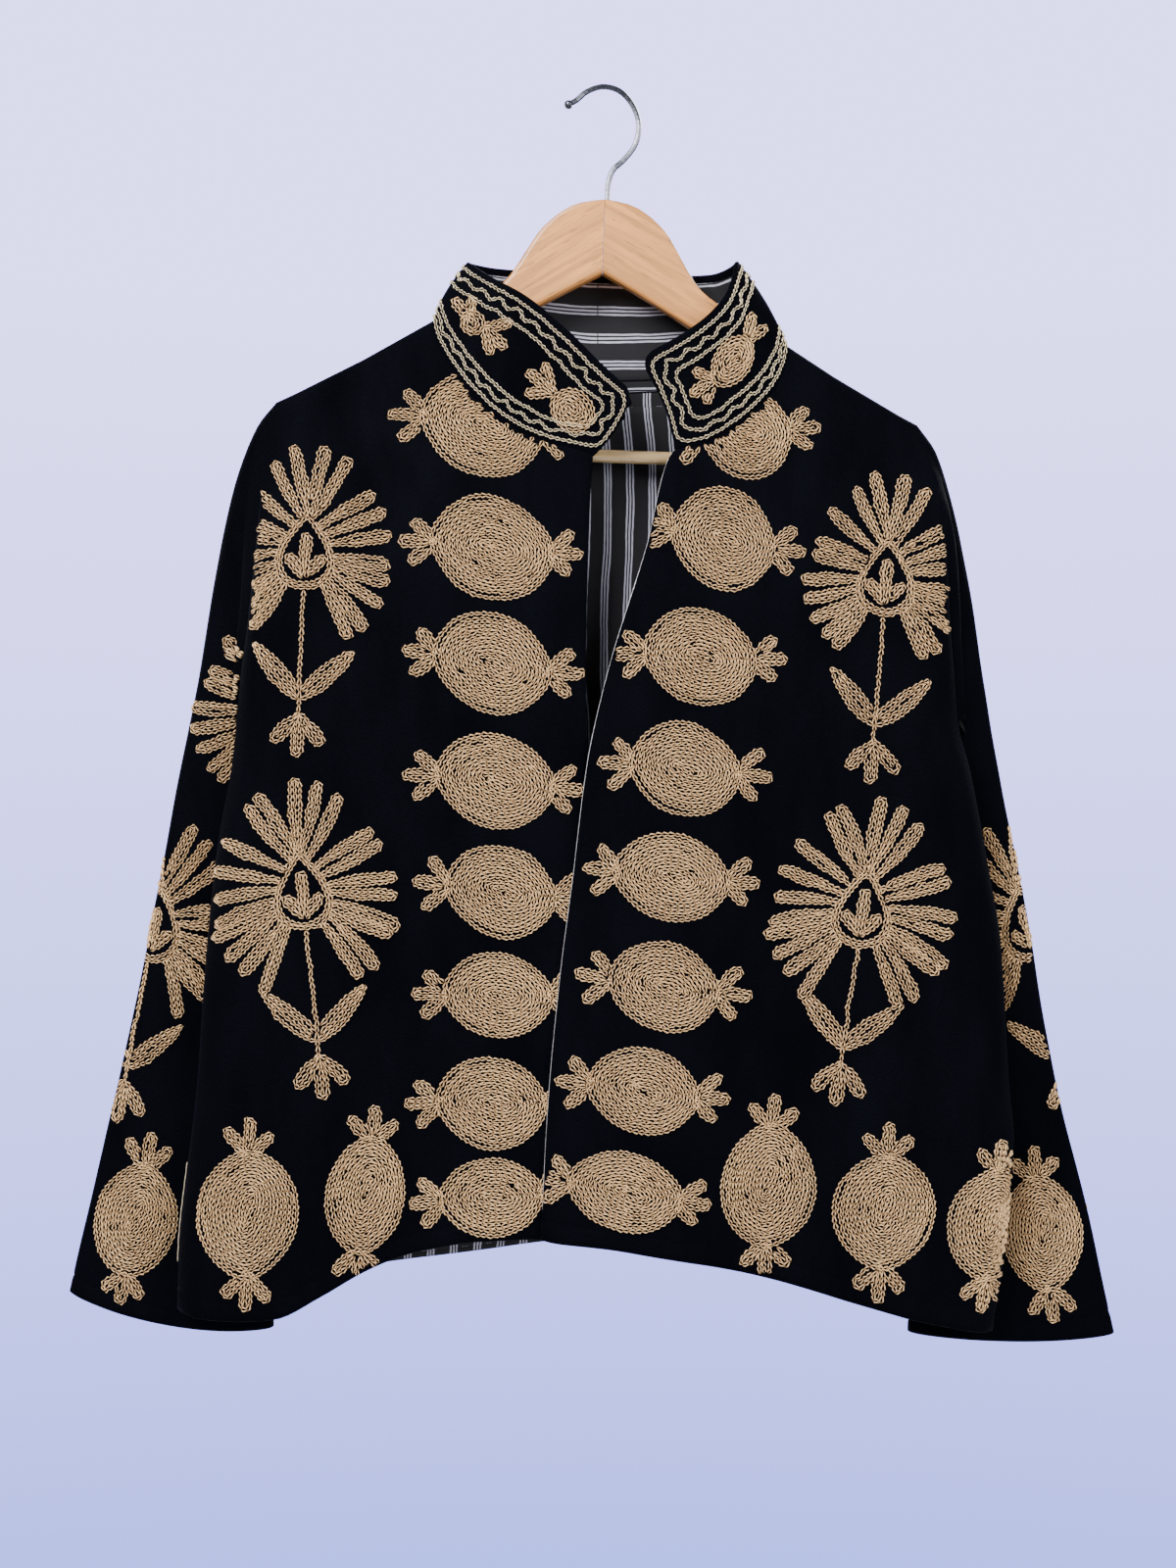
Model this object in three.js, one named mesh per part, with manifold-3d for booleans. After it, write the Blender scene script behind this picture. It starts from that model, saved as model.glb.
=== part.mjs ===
// A short jacket of dark embroidered velvet with a band collar, hung open on a wooden hanger.
// Millimetres. +X is to the viewer's right, +Y goes to the back, +Z is up. The origin is the inside
// of the crown of the hanger's hook, where a rail or a nail holds everything.
// "right" and "left" in the names are the wearer's own, so the right side lies at negative X.
import * as THREE from 'three';
import { mergeVertices } from 'three/addons/utils/BufferGeometryUtils.js';
import Module from 'manifold-3d';

// Driving dimensions
const WALL = 2;                 // velvet and lining sewn back to back
const LINING_WALL = 1;          // the striped cotton by itself
const COLLAR_WALL = 3;          // the collar has a stiffener inside
const SEAM_GAP = 0.3;           // between two sewn pieces
const ARCH_HALF = 10.2;         // half the width of the cloth's arch over a hanger arm
const ARCH_POWER = 3;           // how square that arch is
const ARCH_V = 0.02;            // row value at which the arch is over
const SHOULDER_WALL = 2.3;      // the same wall measured straight down on the sloping shoulder
const ARM_CLEARANCE = 0.5;      // between a hanger arm and the cloth on it
const CHEST_BULGE = 13;         // how far the front stands off below the shoulder
const CHEST_RUN = 150;          // height below the shoulder over which it does so
const BACK_BULGE = 7;
const BACK_RUN = 60;
const LAYER_STEP = 4;           // the left front lies this far in front of the right one
const LAYER_TOP = -260;         // from this height down, over this run
const LAYER_RUN = 160;
const LAYER_REACH = 120;        // and fading out towards this X, over this width
const LAYER_FADE = 90;
const FOLD_BOTTOM = -800;       // height at which a fold is deepest
const FOLD_NARROWING = 0.7;     // its width at the top, as a share
const SIDE_ROUNDING = 28;       // width over which a panel turns back to the side seam
const ARMHOLE_ROUNDING = 18;
const COLLAR_BOW = 3;           // how far the collar band bows outwards
const ARM_THICKNESS = 12;
const ARM_BEVEL = 3;
const ARM_TILT = THREE.MathUtils.degToRad(2.1);
const TILT_PIVOT_Z = -100;
const BAR_RADIUS = 4.5;
const BAR_HALF = 199;
const BAR_Z = -249.5;
const BAR_HOLE_RADIUS = 4.8;
const HOOK_RADIUS = 1.9;
const HOOK_BALL_RADIUS = 3;
const HOOK_HOLE_RADIUS = 2.2;

// Top edge of one hanger arm before the tilt, from the middle outwards
const ARM_TOP = [
  { x: 0, z: -75.5 }, { x: 18.4, z: -78.9 }, { x: 30.4, z: -85.6 }, { x: 38, z: -92.2 },
  { x: 44.1, z: -98.9 }, { x: 52.4, z: -112.3 }, { x: 63.5, z: -130.3 }, { x: 76.8, z: -142.3 },
  { x: 117, z: -167.3 }, { x: 160, z: -193.4 }, { x: 205, z: -218 }, { x: 217, z: -228 },
];
const CLOTH_START = 7;          // the cloth lies on the arm from this point of its top edge on
const ARM_TIP = [{ x: 214, z: -240 }, { x: 206, z: -252 }];
const ARM_BOTTOM = { z: -126, slope: -0.52, curve: -0.0008, end: 195 };
const ARM_OVERSHOOT = 12;       // both arms are sawn from one blank at the middle

// Centre line of the hook's wire, from its free end to the wood
const HOOK_LINE = [
  { x: -24, z: -10 }, { x: -18.5, z: -7 }, { x: -12, z: -1.5 }, { x: -0.7, z: 2.2 }, { x: 10.7, z: -0.7 },
  { x: 19.4, z: -10 }, { x: 24, z: -24 }, { x: 21.4, z: -37.4 }, { x: 13.4, z: -48 }, { x: 6, z: -55 },
  { x: 3, z: -65 }, { x: 2.6, z: -76 }, { x: 2.6, z: -90 },
];

// Row values (v) where the neckline ends and where the armhole ends
const NECK_V = 0.2;
const PIT_V = 0.42;

// One table set a side. v runs from the shoulder seam (0) to the hem (1).
// frontLine: neckline, then the front edge. sideLine: armhole, then the side seam, with the depth
// of the front panel's and the back panel's edge. hem: the front's lower edge.
// sleeve: overarm point a, underarm point b and half the depth of the hanging tube.
const RIGHT = {
  sign: -1,
  neckX: -116,
  tip: { x: -222, z: -213.5 },
  layer: 0,
  frontLine: [
    { v: 0.02, x: -114, z: -170.5 }, { v: 0.06, x: -107, z: -185 }, { v: 0.1, x: -94, z: -204 },
    { v: 0.14, x: -68, z: -229.5 }, { v: 0.17, x: -42, z: -243 }, { v: 0.2, x: -8, z: -253.5 },
    { v: 0.25, x: -10, z: -286 }, { v: 0.42, x: -12.7, z: -398 }, { v: 0.6, x: -11, z: -516 },
    { v: 1, x: -10, z: -778 },
  ],
  sideLine: [
    { v: 0.02, x: -224.5, z: -224, front: -9.5, back: 9.5 },
    { v: 0.08, x: -228.5, z: -245, front: -11, back: 12 },
    { v: 0.15, x: -232, z: -280, front: -12, back: 15 },
    { v: 0.22, x: -236, z: -320, front: -11, back: 17 },
    { v: 0.29, x: -241, z: -360, front: -7, back: 17.5 },
    { v: 0.36, x: -248, z: -400, front: 3, back: 16 },
    { v: 0.42, x: -252, z: -428, front: 11, back: 11 },
    { v: 0.45, x: -253.6, z: -449, front: 8, back: 8 },
    { v: 0.56, x: -265.5, z: -524, front: 6, back: 6 },
    { v: 0.665, x: -272.7, z: -597, front: 6, back: 6 },
    { v: 0.79, x: -278.7, z: -683, front: 6, back: 6 },
    { v: 0.86, x: -284.6, z: -732, front: 6, back: 6 },
    { v: 0.94, x: -290.5, z: -786, front: 6, back: 6 },
    { v: 1, x: -292, z: -828, front: 6, back: 6 },
  ],
  hem: [
    { x: -292, z: -828 }, { x: -270, z: -831 }, { x: -246, z: -832 }, { x: -221, z: -830 },
    { x: -189, z: -815 }, { x: -160, z: -800 }, { x: -122, z: -786 }, { x: -83, z: -778 },
    { x: -47, z: -777 }, { x: -10, z: -778 },
  ],
  sleeve: [
    { v: 0, ax: -222, ay: 0, az: -213.5, bx: -252, by: 11, bz: -428, half: 13 },
    { v: 0.04, ax: -236, ay: 4, az: -229, bx: -261, by: 21, bz: -440, half: 13 },
    { v: 0.1, ax: -253, ay: 10, az: -268, bx: -258, by: 29, bz: -462, half: 12 },
    { v: 0.2, ax: -268, ay: 19, az: -328, bx: -243, by: 31, bz: -500, half: 11 },
    { v: 0.32, ax: -282, ay: 24, az: -405, bx: -238, by: 31, bz: -552, half: 10.5 },
    { v: 0.45, ax: -298, ay: 27, az: -482, bx: -234, by: 31, bz: -612, half: 10.5 },
    { v: 0.6, ax: -317, ay: 28, az: -580, bx: -231, by: 30, bz: -680, half: 10.5 },
    { v: 0.75, ax: -336, ay: 29, az: -672, bx: -230, by: 30, bz: -748, half: 11 },
    { v: 0.88, ax: -355, ay: 30, az: -752, bx: -230, by: 30, bz: -803, half: 11 },
    { v: 1, ax: -372, ay: 30, az: -826, bx: -230, by: 30, bz: -851, half: 11 },
  ],
  cuffSag: 9,
};
const LEFT = {
  sign: 1,
  neckX: 125,
  tip: { x: 212.5, z: -229 },
  layer: LAYER_STEP,
  frontLine: [
    { v: 0.02, x: 123.5, z: -188 }, { v: 0.06, x: 117, z: -203.5 }, { v: 0.1, x: 104, z: -219.5 },
    { v: 0.14, x: 84, z: -236 }, { v: 0.17, x: 66, z: -245.5 }, { v: 0.2, x: 48.5, z: -249 },
    { v: 0.3, x: 28.6, z: -316 }, { v: 0.43, x: 2.4, z: -401 }, { v: 0.52, x: -10.7, z: -460 },
    { v: 0.64, x: -20.5, z: -538 }, { v: 0.74, x: -29, z: -604 }, { v: 0.87, x: -36.9, z: -689 },
    { v: 1, x: -41.5, z: -777 },
  ],
  sideLine: [
    { v: 0.02, x: 215, z: -240, front: -9.5, back: 9.5 },
    { v: 0.08, x: 222, z: -260, front: -11, back: 12 },
    { v: 0.14, x: 228, z: -283, front: -12, back: 15 },
    { v: 0.21, x: 232, z: -321, front: -11, back: 17 },
    { v: 0.3, x: 235, z: -367, front: -7, back: 17.5 },
    { v: 0.37, x: 240, z: -405, front: 3, back: 16 },
    { v: 0.42, x: 244, z: -435, front: 11, back: 11 },
    { v: 0.46, x: 251, z: -463, front: 8, back: 8 },
    { v: 0.55, x: 263, z: -527, front: 6, back: 6 },
    { v: 0.63, x: 272, z: -583, front: 6, back: 6 },
    { v: 0.77, x: 278, z: -682, front: 6, back: 6 },
    { v: 0.815, x: 281, z: -714, front: 6, back: 6 },
    { v: 0.85, x: 279.7, z: -738, front: 6, back: 6 },
    { v: 0.94, x: 273, z: -802, front: 6, back: 6 },
    { v: 1, x: 266.5, z: -844, front: 6, back: 6 },
  ],
  hem: [
    { x: -41.5, z: -777 }, { x: -30, z: -779.5 }, { x: 8, z: -783 }, { x: 64, z: -793 },
    { x: 122, z: -808 }, { x: 181, z: -823 }, { x: 225, z: -836 }, { x: 266.5, z: -844 },
  ],
  sleeve: [
    { v: 0, ax: 212.5, ay: 0, az: -229, bx: 244, by: 11, bz: -435, half: 13 },
    { v: 0.04, ax: 226, ay: 4, az: -246, bx: 253, by: 21, bz: -447, half: 13 },
    { v: 0.1, ax: 238, ay: 10, az: -277, bx: 249, by: 29, bz: -468, half: 12 },
    { v: 0.2, ax: 252, ay: 19, az: -334, bx: 236, by: 31, bz: -505, half: 11 },
    { v: 0.32, ax: 264.5, ay: 24, az: -405, bx: 231, by: 31, bz: -556, half: 10.5 },
    { v: 0.45, ax: 279, ay: 27, az: -483, bx: 227, by: 31, bz: -615, half: 10.5 },
    { v: 0.6, ax: 298, ay: 28, az: -582, bx: 222, by: 30, bz: -684, half: 10.5 },
    { v: 0.75, ax: 315, ay: 29, az: -676, bx: 218, by: 30, bz: -752, half: 11 },
    { v: 0.88, ax: 335, ay: 30, az: -760, bx: 214, by: 30, bz: -806, half: 11 },
    { v: 1, ax: 356, ay: 30, az: -855, bx: 212, by: 30, bz: -854, half: 11 },
  ],
  cuffSag: 4,
};

// Back neckline below the two neck points, and the back's lower edge
const BACK_NECK = [
  { x: -113.5, z: -170 }, { x: -99, z: -181 }, { x: -70, z: -191 }, { x: -36, z: -200.5 },
  { x: -4, z: -204 }, { x: 32, z: -203 }, { x: 70, z: -198.5 }, { x: 104, z: -193 }, { x: 122.5, z: -187.5 },
];
const BACK_HEM = [
  { x: -292, z: -828 }, { x: -225, z: -820 }, { x: -160, z: -805 }, { x: -80, z: -793 }, { x: -10, z: -788 },
  { x: 60, z: -793 }, { x: 120, z: -806 }, { x: 200, z: -828 }, { x: 266.5, z: -844 },
];

// Soft folds: a ridge (or a trough, where the depth is negative) that starts at x, z and widens
// down to the hem at hemX
const FRONT_FOLDS = [
  { x: -205, z: -520, hemX: -200, depth: 7, width: 42 },
  { x: -150, z: -470, hemX: -143, depth: -9, width: 34 },
  { x: -92, z: -420, hemX: -84, depth: 5, width: 40 },
  { x: 40, z: -400, hemX: 34, depth: 6, width: 48 },
  { x: 104, z: -500, hemX: 112, depth: -7, width: 38 },
  { x: 176, z: -460, hemX: 186, depth: 6, width: 42 },
  { x: 226, z: -560, hemX: 232, depth: -5, width: 26 },
];
const BACK_FOLDS = [
  { x: -150, z: -480, hemX: -166, depth: 5, width: 44 },
  { x: -92, z: -430, hemX: -98, depth: -4, width: 36 },
  { x: -22, z: -380, hemX: -26, depth: 6, width: 50 },
  { x: 44, z: -460, hemX: 50, depth: -4, width: 36 },
  { x: 112, z: -420, hemX: 122, depth: 5, width: 46 },
];

// Upper edge of the collar band. c is the station: -2 and 2 are the front ends, -1 and 1 the neck
// points on the shoulders, 0 the middle of the back.
const COLLAR_TOP = [
  { c: -2, x: 19.5, y: -33, z: -214 }, { c: -1.85, x: -1, y: -34, z: -196 },
  { c: -1.7, x: -27, y: -33, z: -170 }, { c: -1.5, x: -54, y: -27, z: -147 },
  { c: -1.3, x: -75, y: -17, z: -133 }, { c: -1.1, x: -89, y: -8, z: -122 },
  { c: -1, x: -93, y: 0, z: -117.5 }, { c: -0.9, x: -90, y: 8, z: -117 },
  { c: -0.7, x: -75, y: 17, z: -118 }, { c: -0.4, x: -40, y: 23, z: -119 },
  { c: 0, x: -4, y: 25, z: -120.5 }, { c: 0.4, x: 36, y: 23, z: -122.5 },
  { c: 0.7, x: 73, y: 17, z: -122.5 }, { c: 0.9, x: 88, y: 8, z: -119 },
  { c: 1, x: 91.5, y: 0, z: -117 }, { c: 1.1, x: 90, y: -8, z: -122 },
  { c: 1.3, x: 84, y: -19, z: -142 }, { c: 1.5, x: 72, y: -28, z: -159 },
  { c: 1.7, x: 52, y: -33, z: -175 }, { c: 1.85, x: 38, y: -34, z: -183 }, { c: 2, x: 25, y: -34, z: -190 },
];
const COLLAR_END_BULGE = 7;     // the right end of the band is rounded outwards
const COLLAR_END_C = 1.9;       // from this station on
const COLLAR_BACK_U = [0.24, 0.76];

// Grid lines. The drops are heights below the shoulder seam that follow the arch.
const ARCH_DROPS = [0, 0.35, 1.4, 3.8, ARCH_HALF];
const LOWER_ROWS = [0.05, 0.1, 0.15, NECK_V, 0.27, 0.34, PIT_V, 0.52, 0.63, 0.74, 0.85, 0.93, 1];
const ROWS = [...ARCH_DROPS.map((drop) => ARCH_V * drop / ARCH_HALF), ...LOWER_ROWS];
const neckRow = ROWS.indexOf(NECK_V);
const pitRow = ROWS.indexOf(PIT_V);
const FRONT_COLUMNS = [0, 0.08, 0.18, 0.28, 0.38, 0.48, 0.58, 0.68, 0.77, 0.85, 0.905, 0.95, 0.98, 1];
const BACK_SHOULDER_COLUMNS = [0, 0.01, 0.03, 0.06, 0.1, 0.17, 0.24];
const BACK_ARCH_COLUMNS = [0.247, 0.251, 0.256, 0.263];
const BACK_NECK_COLUMNS = [0.31, 0.36, 0.41, 0.455, 0.5];
const SLEEVE_ROWS = [0, 0.02, 0.05, 0.09, 0.14, 0.2, 0.27, 0.35, 0.44, 0.53, 0.62, 0.71, 0.81, 0.91, 1];
const COLLAR_ROWS = [0, 0.12, 0.3, 0.55, 0.8, 1];
const COLLAR_LINING_ROWS = [0.12, 0.3, 0.55, 0.8, 0.97];
const COLLAR_LINING_REACH = 1;
const LINING_TRIM = 0.06;       // the lining ends above the hem by this share of the last row
const LINING_INSET = 3;         // and this many columns in from each side
const LINING_START = 4;         // it starts below the arch

const lerp = THREE.MathUtils.lerp;
const clamp = THREE.MathUtils.clamp;
const smooth = (value) => THREE.MathUtils.smoothstep(value, 0, 1);
const add = (a, b) => a.map((value, i) => value + b[i]);
const subtract = (a, b) => a.map((value, i) => value - b[i]);
const scale = (a, factor) => a.map((value) => value * factor);
const cross = (a, b) => [a[1] * b[2] - a[2] * b[1], a[2] * b[0] - a[0] * b[2], a[0] * b[1] - a[1] * b[0]];
const unit = (a) => scale(a, 1 / Math.hypot(...a));
const mix = (a, b, t) => a.map((value, i) => lerp(value, b[i], t));

// A smooth curve through a table's column, without overshoot between two rows
function curve(rows, key, column, at) {
  const last = rows.length - 1;
  if (at <= rows[0][key]) return rows[0][column];
  if (at >= rows[last][key]) return rows[last][column];
  const i = rows.findIndex((row) => row[key] > at) - 1;
  const slope = (k) => (rows[k + 1][column] - rows[k][column]) / (rows[k + 1][key] - rows[k][key]);
  const tangent = (k) => {
    if (k === 0) return slope(0);
    if (k === last) return slope(last - 1);
    const before = slope(k - 1);
    const after = slope(k);
    return before * after <= 0 ? 0 : 2 * before * after / (before + after);
  };
  const width = rows[i + 1][key] - rows[i][key];
  const s = (at - rows[i][key]) / width;
  const ease = s * s * (3 - 2 * s);
  const bend = s * (1 - s) * width * ((1 - s) * tangent(i) - s * tangent(i + 1));
  return lerp(rows[i][column], rows[i + 1][column], ease) + bend;
}

function line(rows, at) {
  const i = clamp(rows.findIndex((row) => row.x > at) - 1, 0, rows.length - 2);
  const start = at >= rows[rows.length - 1].x ? rows.length - 2 : i;
  const t = (at - rows[start].x) / (rows[start + 1].x - rows[start].x);
  return lerp(rows[start].z, rows[start + 1].z, t);
}

// The hanger hangs a little askew, lower at the viewer's right
function tilt(x, z) {
  const drop = z - TILT_PIVOT_Z;
  return {
    x: x * Math.cos(ARM_TILT) + drop * Math.sin(ARM_TILT),
    z: -x * Math.sin(ARM_TILT) + drop * Math.cos(ARM_TILT) + TILT_PIVOT_Z,
  };
}

// Shoulder line of a side: over the arm, then a short free stretch to the sleeve
function shoulderLine(side) {
  const over = ARM_TOP.slice(CLOTH_START, -1).map(({ x, z }) => tilt(side.sign * x, z));
  const rows = over.map(({ x, z }) => ({ x, z: z + ARM_CLEARANCE + SHOULDER_WALL }));
  rows.push(side.tip);
  return side.sign < 0 ? rows.reverse() : rows;
}
for (const side of [RIGHT, LEFT]) {
  side.shoulder = shoulderLine(side);
  side.neck = { x: side.neckX, z: line(side.shoulder, side.neckX) };
  side.frontLine.unshift({ v: 0, ...side.neck });
  side.sideLine.unshift({ v: 0, ...side.tip, front: 0, back: 0 });
}

const archDepth = (drop) => {
  const rest = 1 - clamp(drop / ARCH_HALF, 0, 1);
  return ARCH_HALF * (1 - rest ** ARCH_POWER) ** (1 / ARCH_POWER);
};

function foldDepth(folds, x, z) {
  return folds.reduce((sum, fold) => {
    const run = clamp((fold.z - z) / (fold.z - FOLD_BOTTOM), 0, 1);
    const away = (x - lerp(fold.x, fold.hemX, run)) / (fold.width * lerp(FOLD_NARROWING, 1, run));
    return sum + fold.depth * smooth(run) * Math.exp(-away * away);
  }, 0);
}

// How far a panel stands off the plane of the hanger at a point of the front or the back
function standOff(side, x, z, isFront) {
  const drop = line(side.shoulder, x) - z;
  const folds = isFront ? FRONT_FOLDS : BACK_FOLDS;
  const bulge = isFront ? CHEST_BULGE * smooth(drop / CHEST_RUN) : BACK_BULGE * smooth(drop / BACK_RUN);
  const overFront = side.layer * smooth((LAYER_TOP - z) / LAYER_RUN) * smooth((LAYER_REACH - x) / LAYER_FADE);
  return archDepth(drop) + bulge + (isFront ? overFront : 0) + foldDepth(folds, x, z);
}

const frontEdge = (side, v) => [curve(side.frontLine, 'v', 'x', v), curve(side.frontLine, 'v', 'z', v)];
const sideEdge = (side, v) => [curve(side.sideLine, 'v', 'x', v), curve(side.sideLine, 'v', 'z', v)];

// Depth of a panel's edge at the armhole and the side seam
function edgeDepth(side, v, column) {
  const arch = archDepth(ARCH_HALF * v / ARCH_V) / ARCH_HALF;
  return curve(side.sideLine, 'v', column, Math.max(v, ARCH_V)) * arch;
}

// Turns a panel's depth back to its edge's depth, as a quarter of an ellipse
function roundedTo(edge, depth, depthAtEdge, away, width) {
  const t = clamp(away / width, 0, 1);
  return depth + (edge - depthAtEdge) * (1 - Math.sqrt(1 - (1 - t) ** 2));
}

function panelDepth(side, v, x, z, isFront) {
  const direction = isFront ? -1 : 1;
  const [edgeX, edgeZ] = sideEdge(side, v);
  const width = lerp(ARMHOLE_ROUNDING, SIDE_ROUNDING, smooth((v - 0.25) / (PIT_V - 0.25)));
  const depth = direction * standOff(side, x, z, isFront);
  const depthAtEdge = direction * standOff(side, edgeX, edgeZ, isFront);
  const edge = edgeDepth(side, v, isFront ? 'front' : 'back') + direction * SEAM_GAP / 2;
  return roundedTo(edge, depth, depthAtEdge, Math.abs(x - edgeX), width);
}

// A patch between a top, a bottom and two side lines, each a function that gives [x, z]
function patch(top, bottom, start, end, u, v) {
  const corners = mix(mix(top(0), top(1), u), mix(bottom(0), bottom(1), u), v);
  const across = mix(start(v), end(v), u);
  const down = mix(top(u), bottom(u), v);
  return subtract(add(across, down), corners);
}

function frontPoint(side, u, v) {
  const topLine = (s) => {
    const x = lerp(side.neck.x, side.tip.x, s);
    return [x, line(side.shoulder, x)];
  };
  const hemStart = frontEdge(side, 1)[0];
  const hemEnd = sideEdge(side, 1)[0];
  const hemLine = (s) => {
    const x = lerp(hemStart, hemEnd, s);
    return [x, curve(side.hem, 'x', 'z', x)];
  };
  const [x, z] = patch(topLine, hemLine, (t) => frontEdge(side, t), (t) => sideEdge(side, t), u, v);
  if (v === 0) return [x, -SEAM_GAP / 2, z];
  return [x, panelDepth(side, v, x, z, true), z];
}

// The back's top line: shoulder, arch, neckline to the middle, for u from 0 to 0.5
function backTop(side, u) {
  const neckU = BACK_SHOULDER_COLUMNS[BACK_SHOULDER_COLUMNS.length - 1];
  const archU = BACK_ARCH_COLUMNS[BACK_ARCH_COLUMNS.length - 1];
  if (u <= neckU) {
    const x = lerp(side.tip.x, side.neck.x, u / neckU);
    return [x, line(side.shoulder, x)];
  }
  const below = side.sign < 0 ? BACK_NECK[0] : BACK_NECK[BACK_NECK.length - 1];
  if (u <= archU) {
    const step = BACK_ARCH_COLUMNS.indexOf(u) + 1;
    const share = step > 0 ? ARCH_DROPS[step] / ARCH_HALF : (u - neckU) / (archU - neckU);
    return mix([side.neck.x, side.neck.z], [below.x, below.z], share);
  }
  const middle = BACK_NECK[BACK_NECK.length >> 1].x;
  const x = lerp(below.x, middle, (u - archU) / (0.5 - archU));
  return [x, curve(BACK_NECK, 'x', 'z', x)];
}

function backPoint(u, v) {
  const side = u <= 0.5 ? RIGHT : LEFT;
  const topLine = (s) => (s <= 0.5 ? backTop(RIGHT, s) : backTop(LEFT, 1 - s));
  const hemLine = (s) => {
    const x = lerp(sideEdge(RIGHT, 1)[0], sideEdge(LEFT, 1)[0], s);
    return [x, curve(BACK_HEM, 'x', 'z', x)];
  };
  const [x, z] = patch(topLine, hemLine, (t) => sideEdge(RIGHT, t), (t) => sideEdge(LEFT, t), u, v);
  const onShoulder = v === 0 && Math.min(u, 1 - u) <= BACK_SHOULDER_COLUMNS[BACK_SHOULDER_COLUMNS.length - 1];
  if (onShoulder) return [x, SEAM_GAP / 2, z];
  return [x, panelDepth(side, v, x, z, false), z];
}

// Unit normals of a grid of points, averaged from its neighbours, pointing away from a point inside
function normals(grid, closed, inside) {
  const rowCount = grid.length;
  const columnCount = grid[0].length;
  const found = grid.map((row, j) => row.map((point, i) => {
    const up = grid[Math.max(j - 1, 0)][i];
    const down = grid[Math.min(j + 1, rowCount - 1)][i];
    const before = closed ? row[(i + columnCount - 1) % columnCount] : row[Math.max(i - 1, 0)];
    const after = closed ? row[(i + 1) % columnCount] : row[Math.min(i + 1, columnCount - 1)];
    return unit(cross(subtract(after, before), subtract(down, up)));
  }));
  const [j, i] = [rowCount >> 1, columnCount >> 1];
  const away = subtract(grid[j][i], inside);
  const facing = Math.sign(found[j][i].reduce((sum, value, k) => sum + value * away[k], 0));
  return found.map((row) => row.map((normal) => scale(normal, facing)));
}

const inset = (grid, normalGrid, thickness) => grid.map((row, j) => row.map((point, i) => (
  subtract(point, scale(normalGrid[j][i], thickness)))));

const PIT_LIFT = THREE.MathUtils.degToRad(54);

// Inner edge point of the cloth at an armhole: down at the shoulder, up at the pit, level between
function armholeOffset(v, isFront) {
  if (v === 0) return [0, 0, -SHOULDER_WALL];
  const inwards = isFront ? 1 : -1;
  if (v === PIT_V) return [0, 0, WALL];
  const turn = Math.min(v / ARCH_V, 1) * Math.PI / 2;
  const lift = PIT_LIFT * smooth((v - 0.3) / (PIT_V - 0.3));
  return [0, inwards * WALL * Math.sin(turn + lift), -WALL * Math.cos(turn + lift)];
}

// One closed wall between an outer and an inner grid of points
function wallGeometry(outer, inner, closed) {
  const rowCount = outer.length;
  const columnCount = outer[0].length;
  const positions = [...outer.flat(), ...inner.flat()].flat();
  const innerStart = rowCount * columnCount;
  const index = (j, i) => j * columnCount + i % columnCount;
  const faces = [];
  const quad = (a, b, c, d) => faces.push(a, b, c, a, c, d);
  const columnSteps = closed ? columnCount : columnCount - 1;
  for (let j = 0; j < rowCount - 1; j += 1) {
    for (let i = 0; i < columnSteps; i += 1) {
      const corners = [index(j, i), index(j + 1, i), index(j + 1, i + 1), index(j, i + 1)];
      quad(...corners);
      const [a, b, c, d] = corners.map((corner) => corner + innerStart);
      faces.push(a, c, b, a, d, c);
    }
    if (!closed) {
      for (const [i, from, to] of [[0, j, j + 1], [columnCount - 1, j + 1, j]]) {
        quad(index(from, i), index(from, i) + innerStart, index(to, i) + innerStart, index(to, i));
      }
    }
  }
  for (let i = 0; i < columnSteps; i += 1) {
    for (const [j, from, to] of [[0, i + 1, i], [rowCount - 1, i, i + 1]]) {
      quad(index(j, from), index(j, from) + innerStart, index(j, to) + innerStart, index(j, to));
    }
  }
  const geometry = new THREE.BufferGeometry();
  geometry.setAttribute('position', new THREE.Float32BufferAttribute(positions, 3));
  geometry.setIndex(signedVolume(positions, faces) < 0 ? flipped(faces) : faces);
  geometry.computeVertexNormals();
  return geometry;
}

function signedVolume(positions, faces) {
  const corner = (k) => positions.slice(3 * faces[k], 3 * faces[k] + 3);
  let total = 0;
  for (let k = 0; k < faces.length; k += 3) {
    const [a, b, c] = [corner(k), corner(k + 1), corner(k + 2)];
    total += a.reduce((sum, value, i) => sum + value * cross(b, c)[i], 0);
  }
  return total;
}

function flipped(faces) {
  const turned = [];
  for (let k = 0; k < faces.length; k += 3) {
    turned.push(faces[k], faces[k + 2], faces[k + 1]);
  }
  return turned;
}

// Panels of the body
const INSIDE = [0, 0, -500];
const INSIDE_NECK = [0, 0, -180];
const keepPlane = (offset) => scale(unit([0, offset[1], offset[2]]), WALL);

function frontPanel(side) {
  const outer = ROWS.map((v) => FRONT_COLUMNS.map((u) => frontPoint(side, u, v)));
  const inner = inset(outer, normals(outer, false, INSIDE), WALL);
  const last = FRONT_COLUMNS.length - 1;
  outer.forEach((row, j) => {
    const start = row[0];
    const end = row[last];
    if (j <= neckRow) inner[j][0] = add(start, keepPlane(subtract(inner[j][0], start)));
    if (j <= pitRow) inner[j][last] = add(end, armholeOffset(ROWS[j], true));
    if (j > pitRow) inner[j][last] = add(end, [-side.sign * WALL, 0, 0]);
  });
  inner[0] = outer[0].map((point) => add(point, [0, 0, -SHOULDER_WALL]));
  return { outer, inner };
}

const mirrored = (columns) => columns.map((u) => 1 - u).reverse();
const BACK_HALF = [...BACK_SHOULDER_COLUMNS, ...BACK_ARCH_COLUMNS, ...BACK_NECK_COLUMNS];
const BACK_COLUMNS = [...BACK_HALF, ...mirrored(BACK_HALF).slice(1)];
const shoulderColumn = BACK_SHOULDER_COLUMNS.length - 1;

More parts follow.
